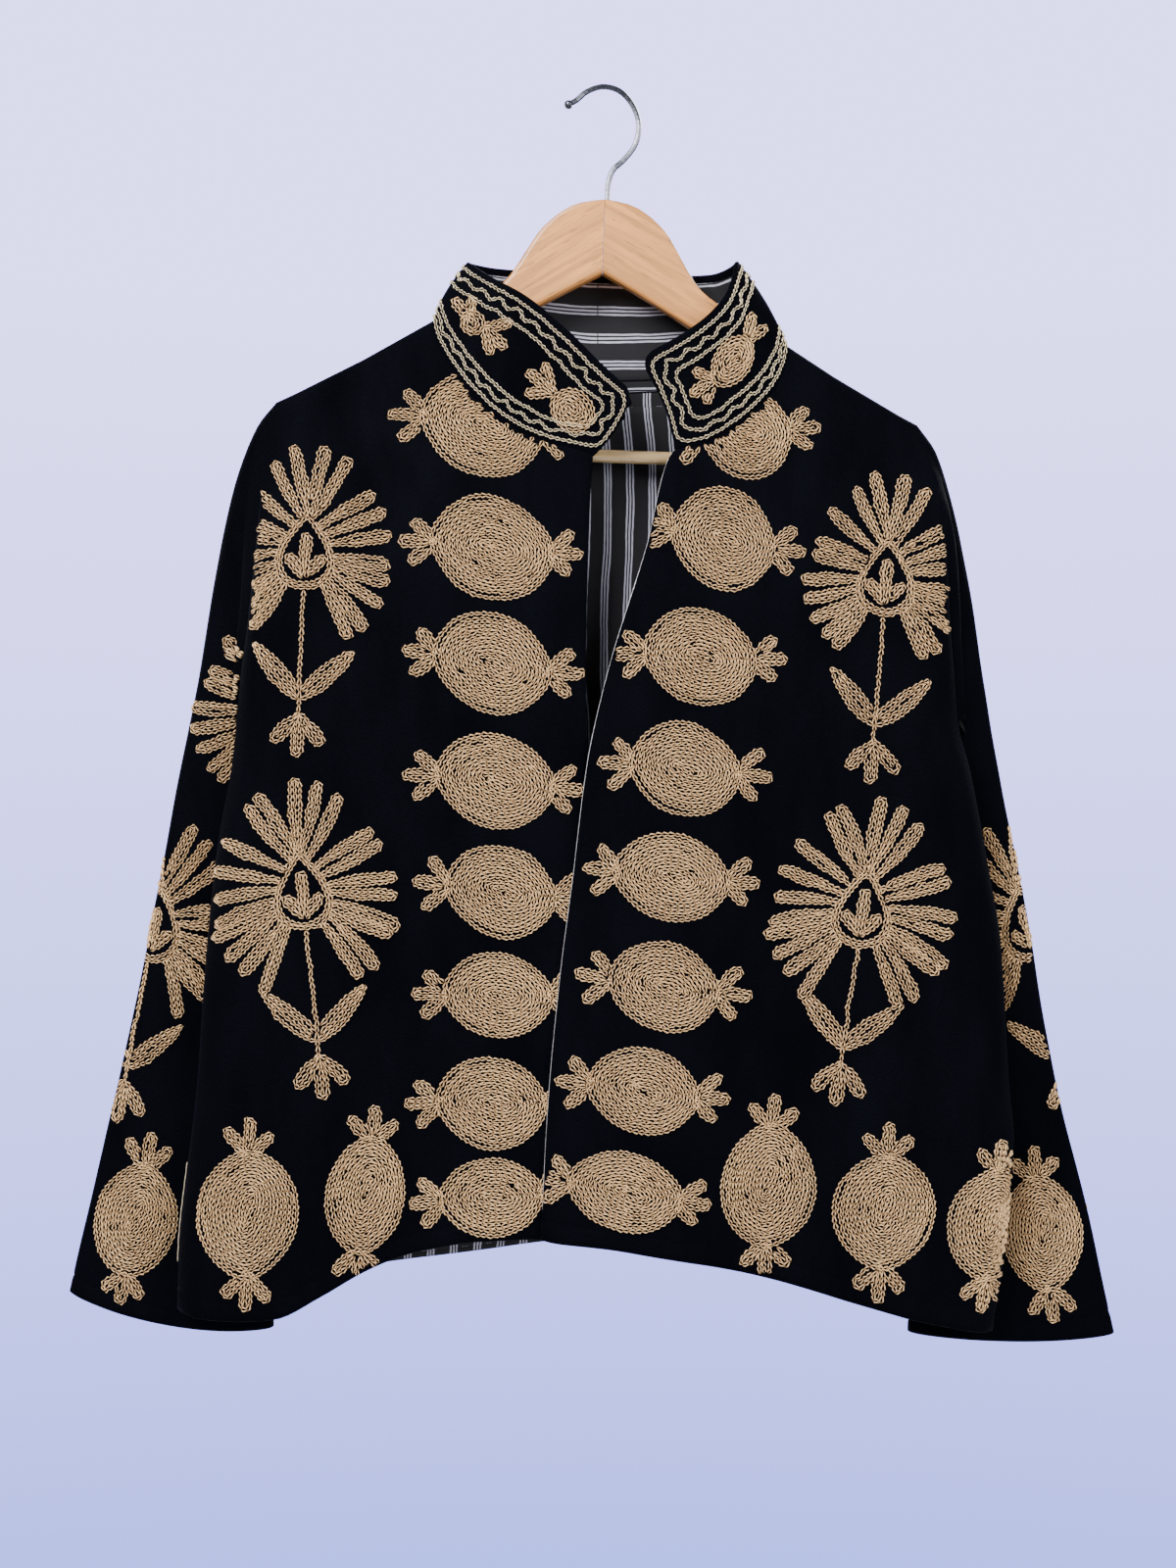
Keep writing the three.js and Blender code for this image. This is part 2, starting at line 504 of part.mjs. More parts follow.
function backPanel() {
  const outer = ROWS.map((v) => BACK_COLUMNS.map((u) => backPoint(u, v)));
  const inner = inset(outer, normals(outer, false, INSIDE), WALL);
  const last = BACK_COLUMNS.length - 1;
  outer.forEach((row, j) => {
    for (const [side, i] of [[RIGHT, 0], [LEFT, last]]) {
      if (j <= pitRow) inner[j][i] = add(row[i], armholeOffset(ROWS[j], false));
      if (j > pitRow) inner[j][i] = add(row[i], [-side.sign * WALL, 0, 0]);
    }
  });
  inner[0] = outer[0].map((point, i) => {
    const onShoulder = Math.min(i, last - i) <= shoulderColumn;
    return add(point, onShoulder ? [0, 0, -SHOULDER_WALL] : keepPlane(subtract(inner[0][i], point)));
  });
  return { outer, inner };
}

// The striped lining lies on the inside of the back
function backLining(back) {
  const columns = BACK_COLUMNS.map((u, i) => i).filter((i) => (
    i >= LINING_INSET && i < BACK_COLUMNS.length - LINING_INSET));
  const rows = ROWS.map((v, j) => j).filter((j) => j >= LINING_START);
  const pick = (grid) => rows.map((j) => columns.map((i) => grid[j][i]));
  const base = pick(back.outer);
  const normalGrid = pick(normals(back.outer, false, INSIDE));
  const lowest = rows.length - 1;
  const trimmed = base.map((row, j) => row.map((point, i) => (
    j === lowest ? mix(point, base[j - 1][i], LINING_TRIM) : point)));
  const face = WALL + SEAM_GAP;
  return {
    outer: inset(trimmed, normalGrid, face),
    inner: inset(trimmed, normalGrid, face + LINING_WALL),
  };
}

const TUBE_POWER = 0.8;          // below 1 the tube's section is flatter than an ellipse
const ARMHOLE_EASE = 0.2;        // share of the length over which it takes that section

// A sleeve hangs as a flat tube. Its first ring is the armhole, moved out by the seam's gap.
function ovalPoint(side, v, k) {
  const value = (column) => curve(side.sleeve, 'v', column, v);
  const angle = Math.PI * k / pitRow;
  const flat = (share) => Math.sign(share) * Math.abs(share) ** TUBE_POWER;
  const along = (1 - flat(Math.cos(angle))) / 2;
  const depth = -value('half') * flat(Math.sin(angle));
  const sag = side.cuffSag * v * v * 4 * along * (1 - along);
  return [
    lerp(value('ax'), value('bx'), along),
    lerp(value('ay'), value('by'), along) + depth,
    lerp(value('az'), value('bz'), along) - sag,
  ];
}

function sleeveMiddle(side) {
  const { ax, ay, az, bx, by, bz } = side.sleeve[side.sleeve.length >> 1];
  return mix([ax, ay, az], [bx, by, bz], 0.5);
}

function sleeve(side, front, back) {
  const frontColumn = FRONT_COLUMNS.length - 1;
  const backColumn = side.sign < 0 ? 0 : BACK_COLUMNS.length - 1;
  const around = [];
  for (let k = 0; k <= pitRow; k += 1) around.push({ k, row: k, isFront: true });
  for (let k = pitRow + 1; k < 2 * pitRow; k += 1) around.push({ k, row: 2 * pitRow - k, isFront: false });
  const shift = [side.sign * SEAM_GAP, 0, 0];
  const armhole = around.map(({ row, isFront }) => {
    const edge = isFront ? front.outer[row][frontColumn] : back.outer[row][backColumn];
    return add(edge, shift);
  });
  const outer = SLEEVE_ROWS.map((v) => around.map(({ k }, i) => {
    const oval = ovalPoint(side, v, k);
    const moved = add(armhole[i], subtract(oval, ovalPoint(side, 0, k)));
    return mix(moved, oval, smooth(v / ARMHOLE_EASE));
  }));
  const inner = inset(outer, normals(outer, true, sleeveMiddle(side)), WALL);
  inner[0] = around.map(({ row, isFront }, i) => add(armhole[i], armholeOffset(ROWS[row], isFront)));
  return { outer, inner };
}

// The collar stands on the neckline's own points, from the right front end round the back
function neckStations(frontRight, frontLeft, back) {
  const stations = [];
  const frontStation = (panel, j) => ({ outer: panel.outer[j][0], inner: panel.inner[j][0] });
  for (let j = neckRow; j >= 1; j -= 1) {
    stations.push({ c: -1 - ROWS[j] / NECK_V, ...frontStation(frontRight, j) });
  }
  for (let i = shoulderColumn; i < BACK_COLUMNS.length - shoulderColumn; i += 1) {
    const spread = (BACK_COLUMNS[i] - COLLAR_BACK_U[0]) / (COLLAR_BACK_U[1] - COLLAR_BACK_U[0]);
    const onSeam = i === shoulderColumn || i === BACK_COLUMNS.length - 1 - shoulderColumn;
    const centre = (point) => (onSeam ? [point[0], 0, point[2]] : point);
    stations.push({ c: 2 * spread - 1, outer: centre(back.outer[0][i]), inner: centre(back.inner[0][i]) });
  }
  for (let j = 1; j <= neckRow; j += 1) {
    stations.push({ c: 1 + ROWS[j] / NECK_V, ...frontStation(frontLeft, j) });
  }
  return stations;
}

function collarPoint(station, t) {
  const top = ['x', 'y', 'z'].map((column) => curve(COLLAR_TOP, 'c', column, station.c));
  const base = add(station.outer, scale(unit(subtract(top, station.outer)), SEAM_GAP));
  const point = mix(base, top, t);
  const turn = clamp(station.c, -1, 1) * Math.PI / 2;
  const bow = COLLAR_BOW * Math.sin(Math.PI * t);
  const outwards = [Math.sin(turn), Math.abs(station.c) > 1 ? 0 : Math.cos(turn), 0];
  const nearEnd = clamp((-COLLAR_END_C - station.c) / (2 - COLLAR_END_C), 0, 1);
  const end = COLLAR_END_BULGE * nearEnd * Math.sin(Math.PI * t);
  return add(add(point, scale(outwards, bow)), [end, 0, 0]);
}

function collar(stations) {
  const outer = COLLAR_ROWS.map((t) => stations.map((station) => collarPoint(station, t)));
  const inner = inset(outer, normals(outer, false, INSIDE_NECK), COLLAR_WALL);
  inner[0] = stations.map((station, i) => add(outer[0][i], subtract(station.inner, station.outer)));
  return { outer, inner };
}

function collarLining(stations) {
  const outer = COLLAR_LINING_ROWS.map((t) => stations.map((station) => collarPoint(station, t)));
  const normalGrid = normals(outer, false, INSIDE_NECK);
  const kept = stations.map((station, i) => i).filter((i) => Math.abs(stations[i].c) <= COLLAR_LINING_REACH);
  const pick = (grid) => grid.map((row) => kept.map((i) => row[i]));
  const face = COLLAR_WALL + SEAM_GAP;
  return {
    outer: inset(pick(outer), pick(normalGrid), face),
    inner: inset(pick(outer), pick(normalGrid), face + LINING_WALL),
  };
}

// Hanger
const wasm = await Module();
wasm.setup();

function solid(geometry) {
  const plain = geometry.clone();
  plain.deleteAttribute('normal');
  plain.deleteAttribute('uv');
  const merged = mergeVertices(plain);
  return new wasm.Manifold(new wasm.Mesh({
    numProp: 3,
    vertProperties: new Float32Array(merged.attributes.position.array),
    triVerts: new Uint32Array(merged.index.array),
  }));
}

function geometryOf(manifold) {
  const cut = manifold.getMesh();
  const geometry = new THREE.BufferGeometry();
  geometry.setAttribute('position', new THREE.BufferAttribute(new Float32Array(cut.vertProperties), 3));
  geometry.setIndex(new THREE.BufferAttribute(new Uint32Array(cut.triVerts), 1));
  geometry.computeVertexNormals();
  return geometry;
}

const bottomEdge = (x) => ARM_BOTTOM.z + ARM_BOTTOM.slope * x + ARM_BOTTOM.curve * x * x;

// Turns a piece with the hanger, about the point where it hangs askew
function askew(geometry) {
  geometry.translate(0, 0, -TILT_PIVOT_Z);
  geometry.rotateY(ARM_TILT);
  geometry.translate(0, 0, TILT_PIVOT_Z);
  return geometry;
}

function mirror(geometry) {
  geometry.scale(-1, 1, 1);
  geometry.setIndex(flipped([...geometry.index.array]));
  return geometry;
}

function armOutline() {
  const shape = new THREE.Shape();
  const steps = 8;
  shape.moveTo(-ARM_OVERSHOOT, ARM_TOP[0].z);
  shape.splineThru(ARM_TOP.map(({ x, z }) => new THREE.Vector2(x, z)));
  for (const { x, z } of ARM_TIP) shape.lineTo(x, z);
  for (let k = 0; k <= steps; k += 1) {
    const x = ARM_BOTTOM.end * (1 - k / steps);
    shape.lineTo(x, bottomEdge(x));
  }
  shape.lineTo(-ARM_OVERSHOOT, ARM_BOTTOM.z);
  return shape;
}

function hangerArm(sign) {
  const blank = new THREE.ExtrudeGeometry(armOutline(), {
    depth: ARM_THICKNESS - 2 * ARM_BEVEL,
    curveSegments: 2,
    bevelThickness: ARM_BEVEL,
    bevelSize: ARM_BEVEL,
    bevelOffset: -ARM_BEVEL,
    bevelSegments: 3,
  });
  blank.translate(0, 0, ARM_BEVEL - ARM_THICKNESS / 2);
  blank.rotateX(Math.PI / 2);
  const reach = 300;
  const half = new THREE.BoxGeometry(reach, reach, reach);
  half.translate(reach / 2 + SEAM_GAP / 2, 0, -reach / 2);
  const barHole = new THREE.CylinderGeometry(BAR_HOLE_RADIUS, BAR_HOLE_RADIUS, 2 * (BAR_HALF + SEAM_GAP), 16);
  barHole.rotateZ(Math.PI / 2);
  barHole.translate(0, 0, BAR_Z);
  const arm = geometryOf(solid(blank).intersect(solid(half)).subtract(solid(barHole)));
  const placed = askew(sign < 0 ? mirror(arm) : arm);
  const shank = HOOK_LINE[HOOK_LINE.length - 1];
  const holeLength = 40;
  const hookHole = new THREE.CylinderGeometry(HOOK_HOLE_RADIUS, HOOK_HOLE_RADIUS, holeLength, 12);
  hookHole.rotateX(Math.PI / 2);
  hookHole.translate(shank.x, 0, shank.z - SEAM_GAP + holeLength / 2);
  return geometryOf(solid(placed).subtract(solid(hookHole)));
}

function hangerBar() {
  const bar = new THREE.CylinderGeometry(BAR_RADIUS, BAR_RADIUS, 2 * BAR_HALF, 16);
  bar.rotateZ(Math.PI / 2);
  bar.translate(0, 0, BAR_Z);
  return askew(bar);
}

function hangerHook() {
  const wire = new THREE.CatmullRomCurve3(HOOK_LINE.map(({ x, z }) => new THREE.Vector3(x, 0, z)));
  const section = new THREE.Shape();
  section.absarc(0, 0, HOOK_RADIUS, 0, 2 * Math.PI);
  const tube = new THREE.ExtrudeGeometry(section, { steps: 44, curveSegments: 4, extrudePath: wire });
  const ball = new THREE.SphereGeometry(HOOK_BALL_RADIUS, 10, 8);
  ball.translate(HOOK_LINE[0].x, 0, HOOK_LINE[0].z);
  return geometryOf(solid(tube).add(solid(ball)));
}

// The jacket on its hanger
const jacket = new THREE.Group();

function place(name, geometry, color, roughness, metalness = 0) {
  const mesh = new THREE.Mesh(geometry, new THREE.MeshStandardMaterial({ color, roughness, metalness }));
  mesh.name = name;
  jacket.add(mesh);
}

const cloth = (name, { outer, inner }, color, closed = false) => {
  place(name, wallGeometry(outer, inner, closed), color, 0.9);
};

const VELVET = 0x0d0e16;
const STRIPED = 0x35343c;
const BEECH = 0xd9a873;
const BAR_WOOD = 0xc9a468;
const STEEL = 0xb8bcc2;

const frontRight = frontPanel(RIGHT);
const frontLeft = frontPanel(LEFT);
const back = backPanel();
const stations = neckStations(frontRight, frontLeft, back);
cloth('front_right', frontRight, VELVET);
cloth('front_left', frontLeft, VELVET);
cloth('back', back, VELVET);
cloth('back_lining', backLining(back), STRIPED);
cloth('sleeve_right', sleeve(RIGHT, frontRight, back), VELVET, true);
cloth('sleeve_left', sleeve(LEFT, frontLeft, back), VELVET, true);
cloth('collar', collar(stations), VELVET);
cloth('collar_lining', collarLining(stations), STRIPED);
place('hanger_arm_right', hangerArm(-1), BEECH, 0.5);
place('hanger_arm_left', hangerArm(1), BEECH, 0.5);
place('hanger_bar', hangerBar(), BAR_WOOD, 0.35);
place('hanger_hook', hangerHook(), STEEL, 0.25, 1);

export default jacket;
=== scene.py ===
# A short jacket of dark velvet with chain-stitched fruit and flowers, hung open on a wooden hanger.
# Sizes are in millimetres here and become metres in the meshes. +X is the viewer's right, +Y the
# back and +Z up, and the origin is inside the crown of the hook. "right" and "left" are the wearer's.
import math
import random
from bisect import bisect_right
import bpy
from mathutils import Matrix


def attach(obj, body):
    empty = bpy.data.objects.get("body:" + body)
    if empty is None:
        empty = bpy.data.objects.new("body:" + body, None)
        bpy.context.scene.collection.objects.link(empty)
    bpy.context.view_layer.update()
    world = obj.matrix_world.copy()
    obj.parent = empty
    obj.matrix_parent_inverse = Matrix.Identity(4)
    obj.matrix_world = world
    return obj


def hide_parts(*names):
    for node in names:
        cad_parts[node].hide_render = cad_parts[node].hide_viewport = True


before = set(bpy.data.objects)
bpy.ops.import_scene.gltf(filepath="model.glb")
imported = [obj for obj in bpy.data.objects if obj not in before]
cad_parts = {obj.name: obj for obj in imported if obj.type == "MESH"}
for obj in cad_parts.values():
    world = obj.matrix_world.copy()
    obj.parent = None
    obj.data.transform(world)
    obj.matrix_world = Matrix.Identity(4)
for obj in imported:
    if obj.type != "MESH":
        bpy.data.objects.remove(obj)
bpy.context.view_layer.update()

from types import SimpleNamespace

import bmesh
import bpy
from bpy.props import FloatProperty, FloatVectorProperty, IntProperty, PointerProperty
from mathutils import Vector, noise
from mathutils.bvhtree import BVHTree

bl_info = {
    "name": "Suzani jacket on a hanger",
    "version": (1, 0, 0),
    "blender": (4, 5, 0),
    "location": "View3D > Sidebar > Jacket",
    "description": "Velvet jacket with chain-stitch embroidery, striped lining and a wooden hanger",
    "category": "Add Mesh",
}

MM = 0.001

# Cloth and hanger sizes that the shape shares with the solids
WALL = 2.0
LINING_WALL = 1.0
COLLAR_WALL = 3.0
LINING_GAP = 0.3        # between a panel and the lining on it
SEAM_GAP = 0.04         # sewn edges all but touch
ARCH_HALF = 10.2
ARCH_POWER = 3
ARCH_V = 0.02
SHOULDER_WALL = 2.3
ARM_CLEARANCE = 0.5
CHEST_BULGE, CHEST_RUN = 13, 150
BACK_BULGE, BACK_RUN = 7, 60
LAYER_STEP, LAYER_TOP, LAYER_RUN, LAYER_REACH, LAYER_FADE = 4, -260, 160, 120, 90
FOLD_BOTTOM, FOLD_NARROWING = -800, 0.7
SIDE_ROUNDING, ARMHOLE_ROUNDING = 28, 18
COLLAR_BOW = 3
ARM_TILT = math.radians(2.1)
TILT_PIVOT_Z = -100
NECK_V, PIT_V = 0.2, 0.42
COLLAR_END_BULGE, COLLAR_END_C = 7, 1.9
COLLAR_CORNER = 9       # radius of the band's upper corners at its front ends
TUBE_POWER, ARMHOLE_EASE = 0.8, 0.2


def table(columns, *rows):
    """A table's rows, each with its values under the names of the columns."""
    names = columns.split()
    return [dict(zip(names, row)) for row in rows]


# Top edge of a hanger arm where the cloth lies on it, before the tilt
ARM_TOP = table("x z", (76.8, -142.3), (117, -167.3), (160, -193.4), (205, -218))

RIGHT = SimpleNamespace(
    sign=-1, neck_x=-116, tip={"x": -222, "z": -213.5}, layer=0, cuff_sag=9,
    front_line=table(
        "v x z",
        (0.02, -114, -170.5), (0.06, -107, -185), (0.1, -94, -204), (0.14, -68, -229.5),
        (0.17, -42, -243), (0.2, -8, -253.5), (0.25, -10, -286), (0.42, -12.7, -398),
        (0.6, -11, -516), (1, -10, -778)),
    side_line=table(
        "v x z front back",
        (0.02, -224.5, -224, -9.5, 9.5), (0.08, -228.5, -245, -11, 12), (0.15, -232, -280, -12, 15),
        (0.22, -236, -320, -11, 17), (0.29, -241, -360, -7, 17.5), (0.36, -248, -400, 3, 16),
        (0.42, -252, -428, 11, 11), (0.45, -253.6, -449, 8, 8), (0.56, -265.5, -524, 6, 6),
        (0.665, -272.7, -597, 6, 6), (0.79, -278.7, -683, 6, 6), (0.86, -284.6, -732, 6, 6),
        (0.94, -290.5, -786, 6, 6), (1, -292, -828, 6, 6)),
    hem=table(
        "x z",
        (-292, -828), (-270, -831), (-246, -832), (-221, -830), (-189, -815), (-160, -800),
        (-122, -786), (-83, -778), (-47, -777), (-10, -778)),
    sleeve=table(
        "v ax ay az bx by bz half",
        (0, -222, 0, -213.5, -252, 11, -428, 13), (0.04, -236, 4, -229, -261, 21, -440, 13),
        (0.1, -253, 10, -268, -258, 29, -462, 12), (0.2, -268, 19, -328, -243, 31, -500, 11),
        (0.32, -282, 24, -405, -238, 31, -552, 10.5), (0.45, -298, 27, -482, -234, 31, -612, 10.5),
        (0.6, -317, 28, -580, -231, 30, -680, 10.5), (0.75, -336, 29, -672, -230, 30, -748, 11),
        (0.88, -355, 30, -752, -230, 30, -803, 11), (1, -372, 30, -826, -230, 30, -851, 11)),
)
LEFT = SimpleNamespace(
    sign=1, neck_x=125, tip={"x": 212.5, "z": -229}, layer=LAYER_STEP, cuff_sag=4,
    front_line=table(
        "v x z",
        (0.02, 123.5, -188), (0.06, 117, -203.5), (0.1, 104, -219.5), (0.14, 84, -236),
        (0.17, 66, -245.5), (0.2, 48.5, -249), (0.3, 28.6, -316), (0.43, 2.4, -401),
        (0.52, -10.7, -460), (0.64, -20.5, -538), (0.74, -29, -604), (0.87, -36.9, -689),
        (1, -41.5, -777)),
    side_line=table(
        "v x z front back",
        (0.02, 215, -240, -9.5, 9.5), (0.08, 222, -260, -11, 12), (0.14, 228, -283, -12, 15),
        (0.21, 232, -321, -11, 17), (0.3, 235, -367, -7, 17.5), (0.37, 240, -405, 3, 16),
        (0.42, 244, -435, 11, 11), (0.46, 251, -463, 8, 8), (0.55, 263, -527, 6, 6),
        (0.63, 272, -583, 6, 6), (0.77, 278, -682, 6, 6), (0.815, 281, -714, 6, 6),
        (0.85, 279.7, -738, 6, 6), (0.94, 273, -802, 6, 6), (1, 266.5, -844, 6, 6)),
    hem=table(
        "x z",
        (-41.5, -777), (-30, -779.5), (8, -783), (64, -793), (122, -808), (181, -823),
        (225, -836), (266.5, -844)),
    sleeve=table(
        "v ax ay az bx by bz half",
        (0, 212.5, 0, -229, 244, 11, -435, 13), (0.04, 226, 4, -246, 253, 21, -447, 13),
        (0.1, 238, 10, -277, 249, 29, -468, 12), (0.2, 252, 19, -334, 236, 31, -505, 11),
        (0.32, 264.5, 24, -405, 231, 31, -556, 10.5), (0.45, 279, 27, -483, 227, 31, -615, 10.5),
        (0.6, 298, 28, -582, 222, 30, -684, 10.5), (0.75, 315, 29, -676, 218, 30, -752, 11),
        (0.88, 335, 30, -760, 214, 30, -806, 11), (1, 356, 30, -855, 212, 30, -854, 11)),
)
BACK_NECK = table(
    "x z",
    (-113.5, -170), (-99, -181), (-70, -191), (-36, -200.5), (-4, -204), (32, -203), (70, -198.5),
    (104, -193), (122.5, -187.5))
BACK_HEM = table(
    "x z",
    (-292, -828), (-225, -820), (-160, -805), (-80, -793), (-10, -788), (60, -793), (120, -806),
    (200, -828), (266.5, -844))
FRONT_FOLDS = table(
    "x z hem_x depth width",
    (-205, -520, -200, 7, 42), (-150, -470, -143, -9, 34), (-92, -420, -84, 5, 40),
    (40, -400, 34, 6, 48), (104, -500, 112, -7, 38), (176, -460, 186, 6, 42), (226, -560, 232, -5, 26))
BACK_FOLDS = table(
    "x z hem_x depth width",
    (-150, -480, -166, 5, 44), (-92, -430, -98, -4, 36), (-22, -380, -26, 6, 50),
    (44, -460, 50, -4, 36), (112, -420, 122, 5, 46))
# Upper edge of the collar band: c is -2 and 2 at the front ends, 0 in the middle of the back
COLLAR_TOP = table(
    "c x y z",
    (-2, 19.5, -33, -214), (-1.85, -1, -34, -196), (-1.7, -27, -33, -170), (-1.5, -54, -27, -147),
    (-1.3, -75, -17, -133), (-1.1, -89, -8, -122), (-1, -93, 0, -117.5), (-0.9, -90, 8, -117),
    (-0.7, -75, 17, -118), (-0.4, -40, 23, -119), (0, -4, 25, -120.5), (0.4, 36, 23, -122.5),
    (0.7, 73, 17, -122.5), (0.9, 88, 8, -119), (1, 91.5, 0, -117), (1.1, 90, -8, -122),
    (1.3, 84, -19, -142), (1.5, 72, -28, -159), (1.7, 52, -33, -175), (1.85, 38, -34, -183),
    (2, 25, -34, -190))


def lerp(a, b, t):
    return a + (b - a) * t


def clamp(value, low=0.0, high=1.0):
    return max(low, min(high, value))


def smooth(value):
    t = clamp(value)
    return t * t * (3 - 2 * t)


def curve(rows, key, column, at):
    """A smooth curve through a table's column, without overshoot between two rows."""
    last = len(rows) - 1
    if at <= rows[0][key]:
        return rows[0][column]
    if at >= rows[last][key]:
        return rows[last][column]
    i = next(k for k, row in enumerate(rows) if row[key] > at) - 1

    def slope(k):
        return (rows[k + 1][column] - rows[k][column]) / (rows[k + 1][key] - rows[k][key])

    def tangent(k):
        if k == 0:
            return slope(0)
        if k == last:
            return slope(last - 1)
        before, after = slope(k - 1), slope(k)
        return 0 if before * after <= 0 else 2 * before * after / (before + after)

    width = rows[i + 1][key] - rows[i][key]
    s = (at - rows[i][key]) / width
    bend = s * (1 - s) * width * ((1 - s) * tangent(i) - s * tangent(i + 1))
    return lerp(rows[i][column], rows[i + 1][column], s * s * (3 - 2 * s)) + bend


def line(rows, at):
    """Height of a table's broken line at this x."""
    above = next((k for k, row in enumerate(rows) if row["x"] > at), len(rows))
    i = int(clamp(above - 1, 0, len(rows) - 2))
    low, high = rows[i], rows[i + 1]
    return lerp(low["z"], high["z"], (at - low["x"]) / (high["x"] - low["x"]))


def tilt(x, z):
    """Where a place on the level hanger lies after its tilt."""
    drop = z - TILT_PIVOT_Z
    return (x * math.cos(ARM_TILT) + drop * math.sin(ARM_TILT),
            -x * math.sin(ARM_TILT) + drop * math.cos(ARM_TILT) + TILT_PIVOT_Z)


def shoulder_line(side):
    """Top edge of the cloth over a hanger's arm, from low x to high x."""
    rows = []
    for row in ARM_TOP:
        x, z = tilt(side.sign * row["x"], row["z"])
        rows.append({"x": x, "z": z + ARM_CLEARANCE + SHOULDER_WALL})
    rows.append(side.tip)
    return rows[::-1] if side.sign < 0 else rows


for side in (RIGHT, LEFT):
    side.shoulder = shoulder_line(side)
    side.neck = {"x": side.neck_x, "z": line(side.shoulder, side.neck_x)}
    side.front_line.insert(0, {"v": 0, **side.neck})
    side.side_line.insert(0, {"v": 0, **side.tip, "front": 0, "back": 0})


def arch_depth(drop):
    """How far the cloth stands off the middle plane, by its drop below the shoulder line."""
    rest = 1 - clamp(drop / ARCH_HALF)
    return ARCH_HALF * (1 - rest ** ARCH_POWER) ** (1 / ARCH_POWER)


def fold_depth(folds, x, z):
    """Depth of the hanging folds, which grow towards the hem."""
    total = 0
    for fold in folds:
        run = clamp((fold["z"] - z) / (fold["z"] - FOLD_BOTTOM))
        width = fold["width"] * lerp(FOLD_NARROWING, 1, run)
        away = (x - lerp(fold["x"], fold["hem_x"], run)) / width
        total += fold["depth"] * smooth(run) * math.exp(-away * away)
    return total


def stand_off(side, x, z, is_front):
    """A panel's distance from the middle plane, away from its side seam."""
    drop = line(side.shoulder, x) - z
    if is_front:
        layer = side.layer * smooth((LAYER_TOP - z) / LAYER_RUN) * smooth((LAYER_REACH - x) / LAYER_FADE)
        bulge = CHEST_BULGE * smooth(drop / CHEST_RUN) + layer
        return arch_depth(drop) + bulge + fold_depth(FRONT_FOLDS, x, z)
    return arch_depth(drop) + BACK_BULGE * smooth(drop / BACK_RUN) + fold_depth(BACK_FOLDS, x, z)


def front_edge(side, v):
    return curve(side.front_line, "v", "x", v), curve(side.front_line, "v", "z", v)


def side_edge(side, v):
    return curve(side.side_line, "v", "x", v), curve(side.side_line, "v", "z", v)


def panel_depth(side, v, x, z, is_front):
    """Y of a panel's face, which rounds in to its side seam."""
    direction = -1 if is_front else 1
    edge_x, edge_z = side_edge(side, v)
    width = lerp(ARMHOLE_ROUNDING, SIDE_ROUNDING, smooth((v - 0.25) / (PIT_V - 0.25)))
    depth = direction * stand_off(side, x, z, is_front)
    depth_at_edge = direction * stand_off(side, edge_x, edge_z, is_front)
    arch = arch_depth(ARCH_HALF * v / ARCH_V) / ARCH_HALF
    edge = curve(side.side_line, "v", "front" if is_front else "back", max(v, ARCH_V)) * arch
    edge += direction * SEAM_GAP / 2
    t = clamp(abs(x - edge_x) / width)
    return depth + (edge - depth_at_edge) * (1 - math.sqrt(1 - (1 - t) ** 2))


def patch(top, bottom, start, end, u, v):
    """A surface between a top, a bottom and two side lines, each a function that gives (x, z)."""
    found = []
    for k in (0, 1):
        corners = lerp(lerp(top(0)[k], top(1)[k], u), lerp(bottom(0)[k], bottom(1)[k], u), v)
        across = lerp(start(v)[k], end(v)[k], u)
        down = lerp(top(u)[k], bottom(u)[k], v)
        found.append(across + down - corners)
    return found


def front_point(side, u, v):
    """A point of a front, by its share from front edge to side and from top to hem."""
    def top(s):
        x = lerp(side.neck["x"], side.tip["x"], s)
        return x, line(side.shoulder, x)

    def hem(s):
        x = lerp(side.front_line[-1]["x"], side.side_line[-1]["x"], s)
        return x, curve(side.hem, "x", "z", x)

    x, z = patch(top, hem, lambda t: front_edge(side, t), lambda t: side_edge(side, t), u, v)
    y = -SEAM_GAP / 2 if v == 0 else panel_depth(side, v, x, z, True)
    return Vector((x, y, z))


# Values of u on the back: the neck point, and the neckline's first millimetres over the arch
NECK_U = 0.24
ARCH_END_U = 0.263
ARCH_SHARES = table("u share", (0.24, 0), (0.247, 0.0343), (0.251, 0.1373), (0.256, 0.3725), (0.263, 1))


def back_top(side, u):
    """The back's upper edge: over the arm, down the arch and along the neckline."""
    if u <= NECK_U:
        x = lerp(side.tip["x"], side.neck["x"], u / NECK_U)
        return x, line(side.shoulder, x)
    below = BACK_NECK[0] if side.sign < 0 else BACK_NECK[-1]
    if u <= ARCH_END_U:
        i = next(k for k, row in enumerate(ARCH_SHARES) if row["u"] >= u)
        low, high = ARCH_SHARES[i - 1], ARCH_SHARES[i]
        share = lerp(low["share"], high["share"], (u - low["u"]) / (high["u"] - low["u"]))
        return lerp(side.neck["x"], below["x"], share), lerp(side.neck["z"], below["z"], share)
    middle = BACK_NECK[len(BACK_NECK) // 2]["x"]
    x = lerp(below["x"], middle, (u - ARCH_END_U) / (0.5 - ARCH_END_U))
    return x, curve(BACK_NECK, "x", "z", x)


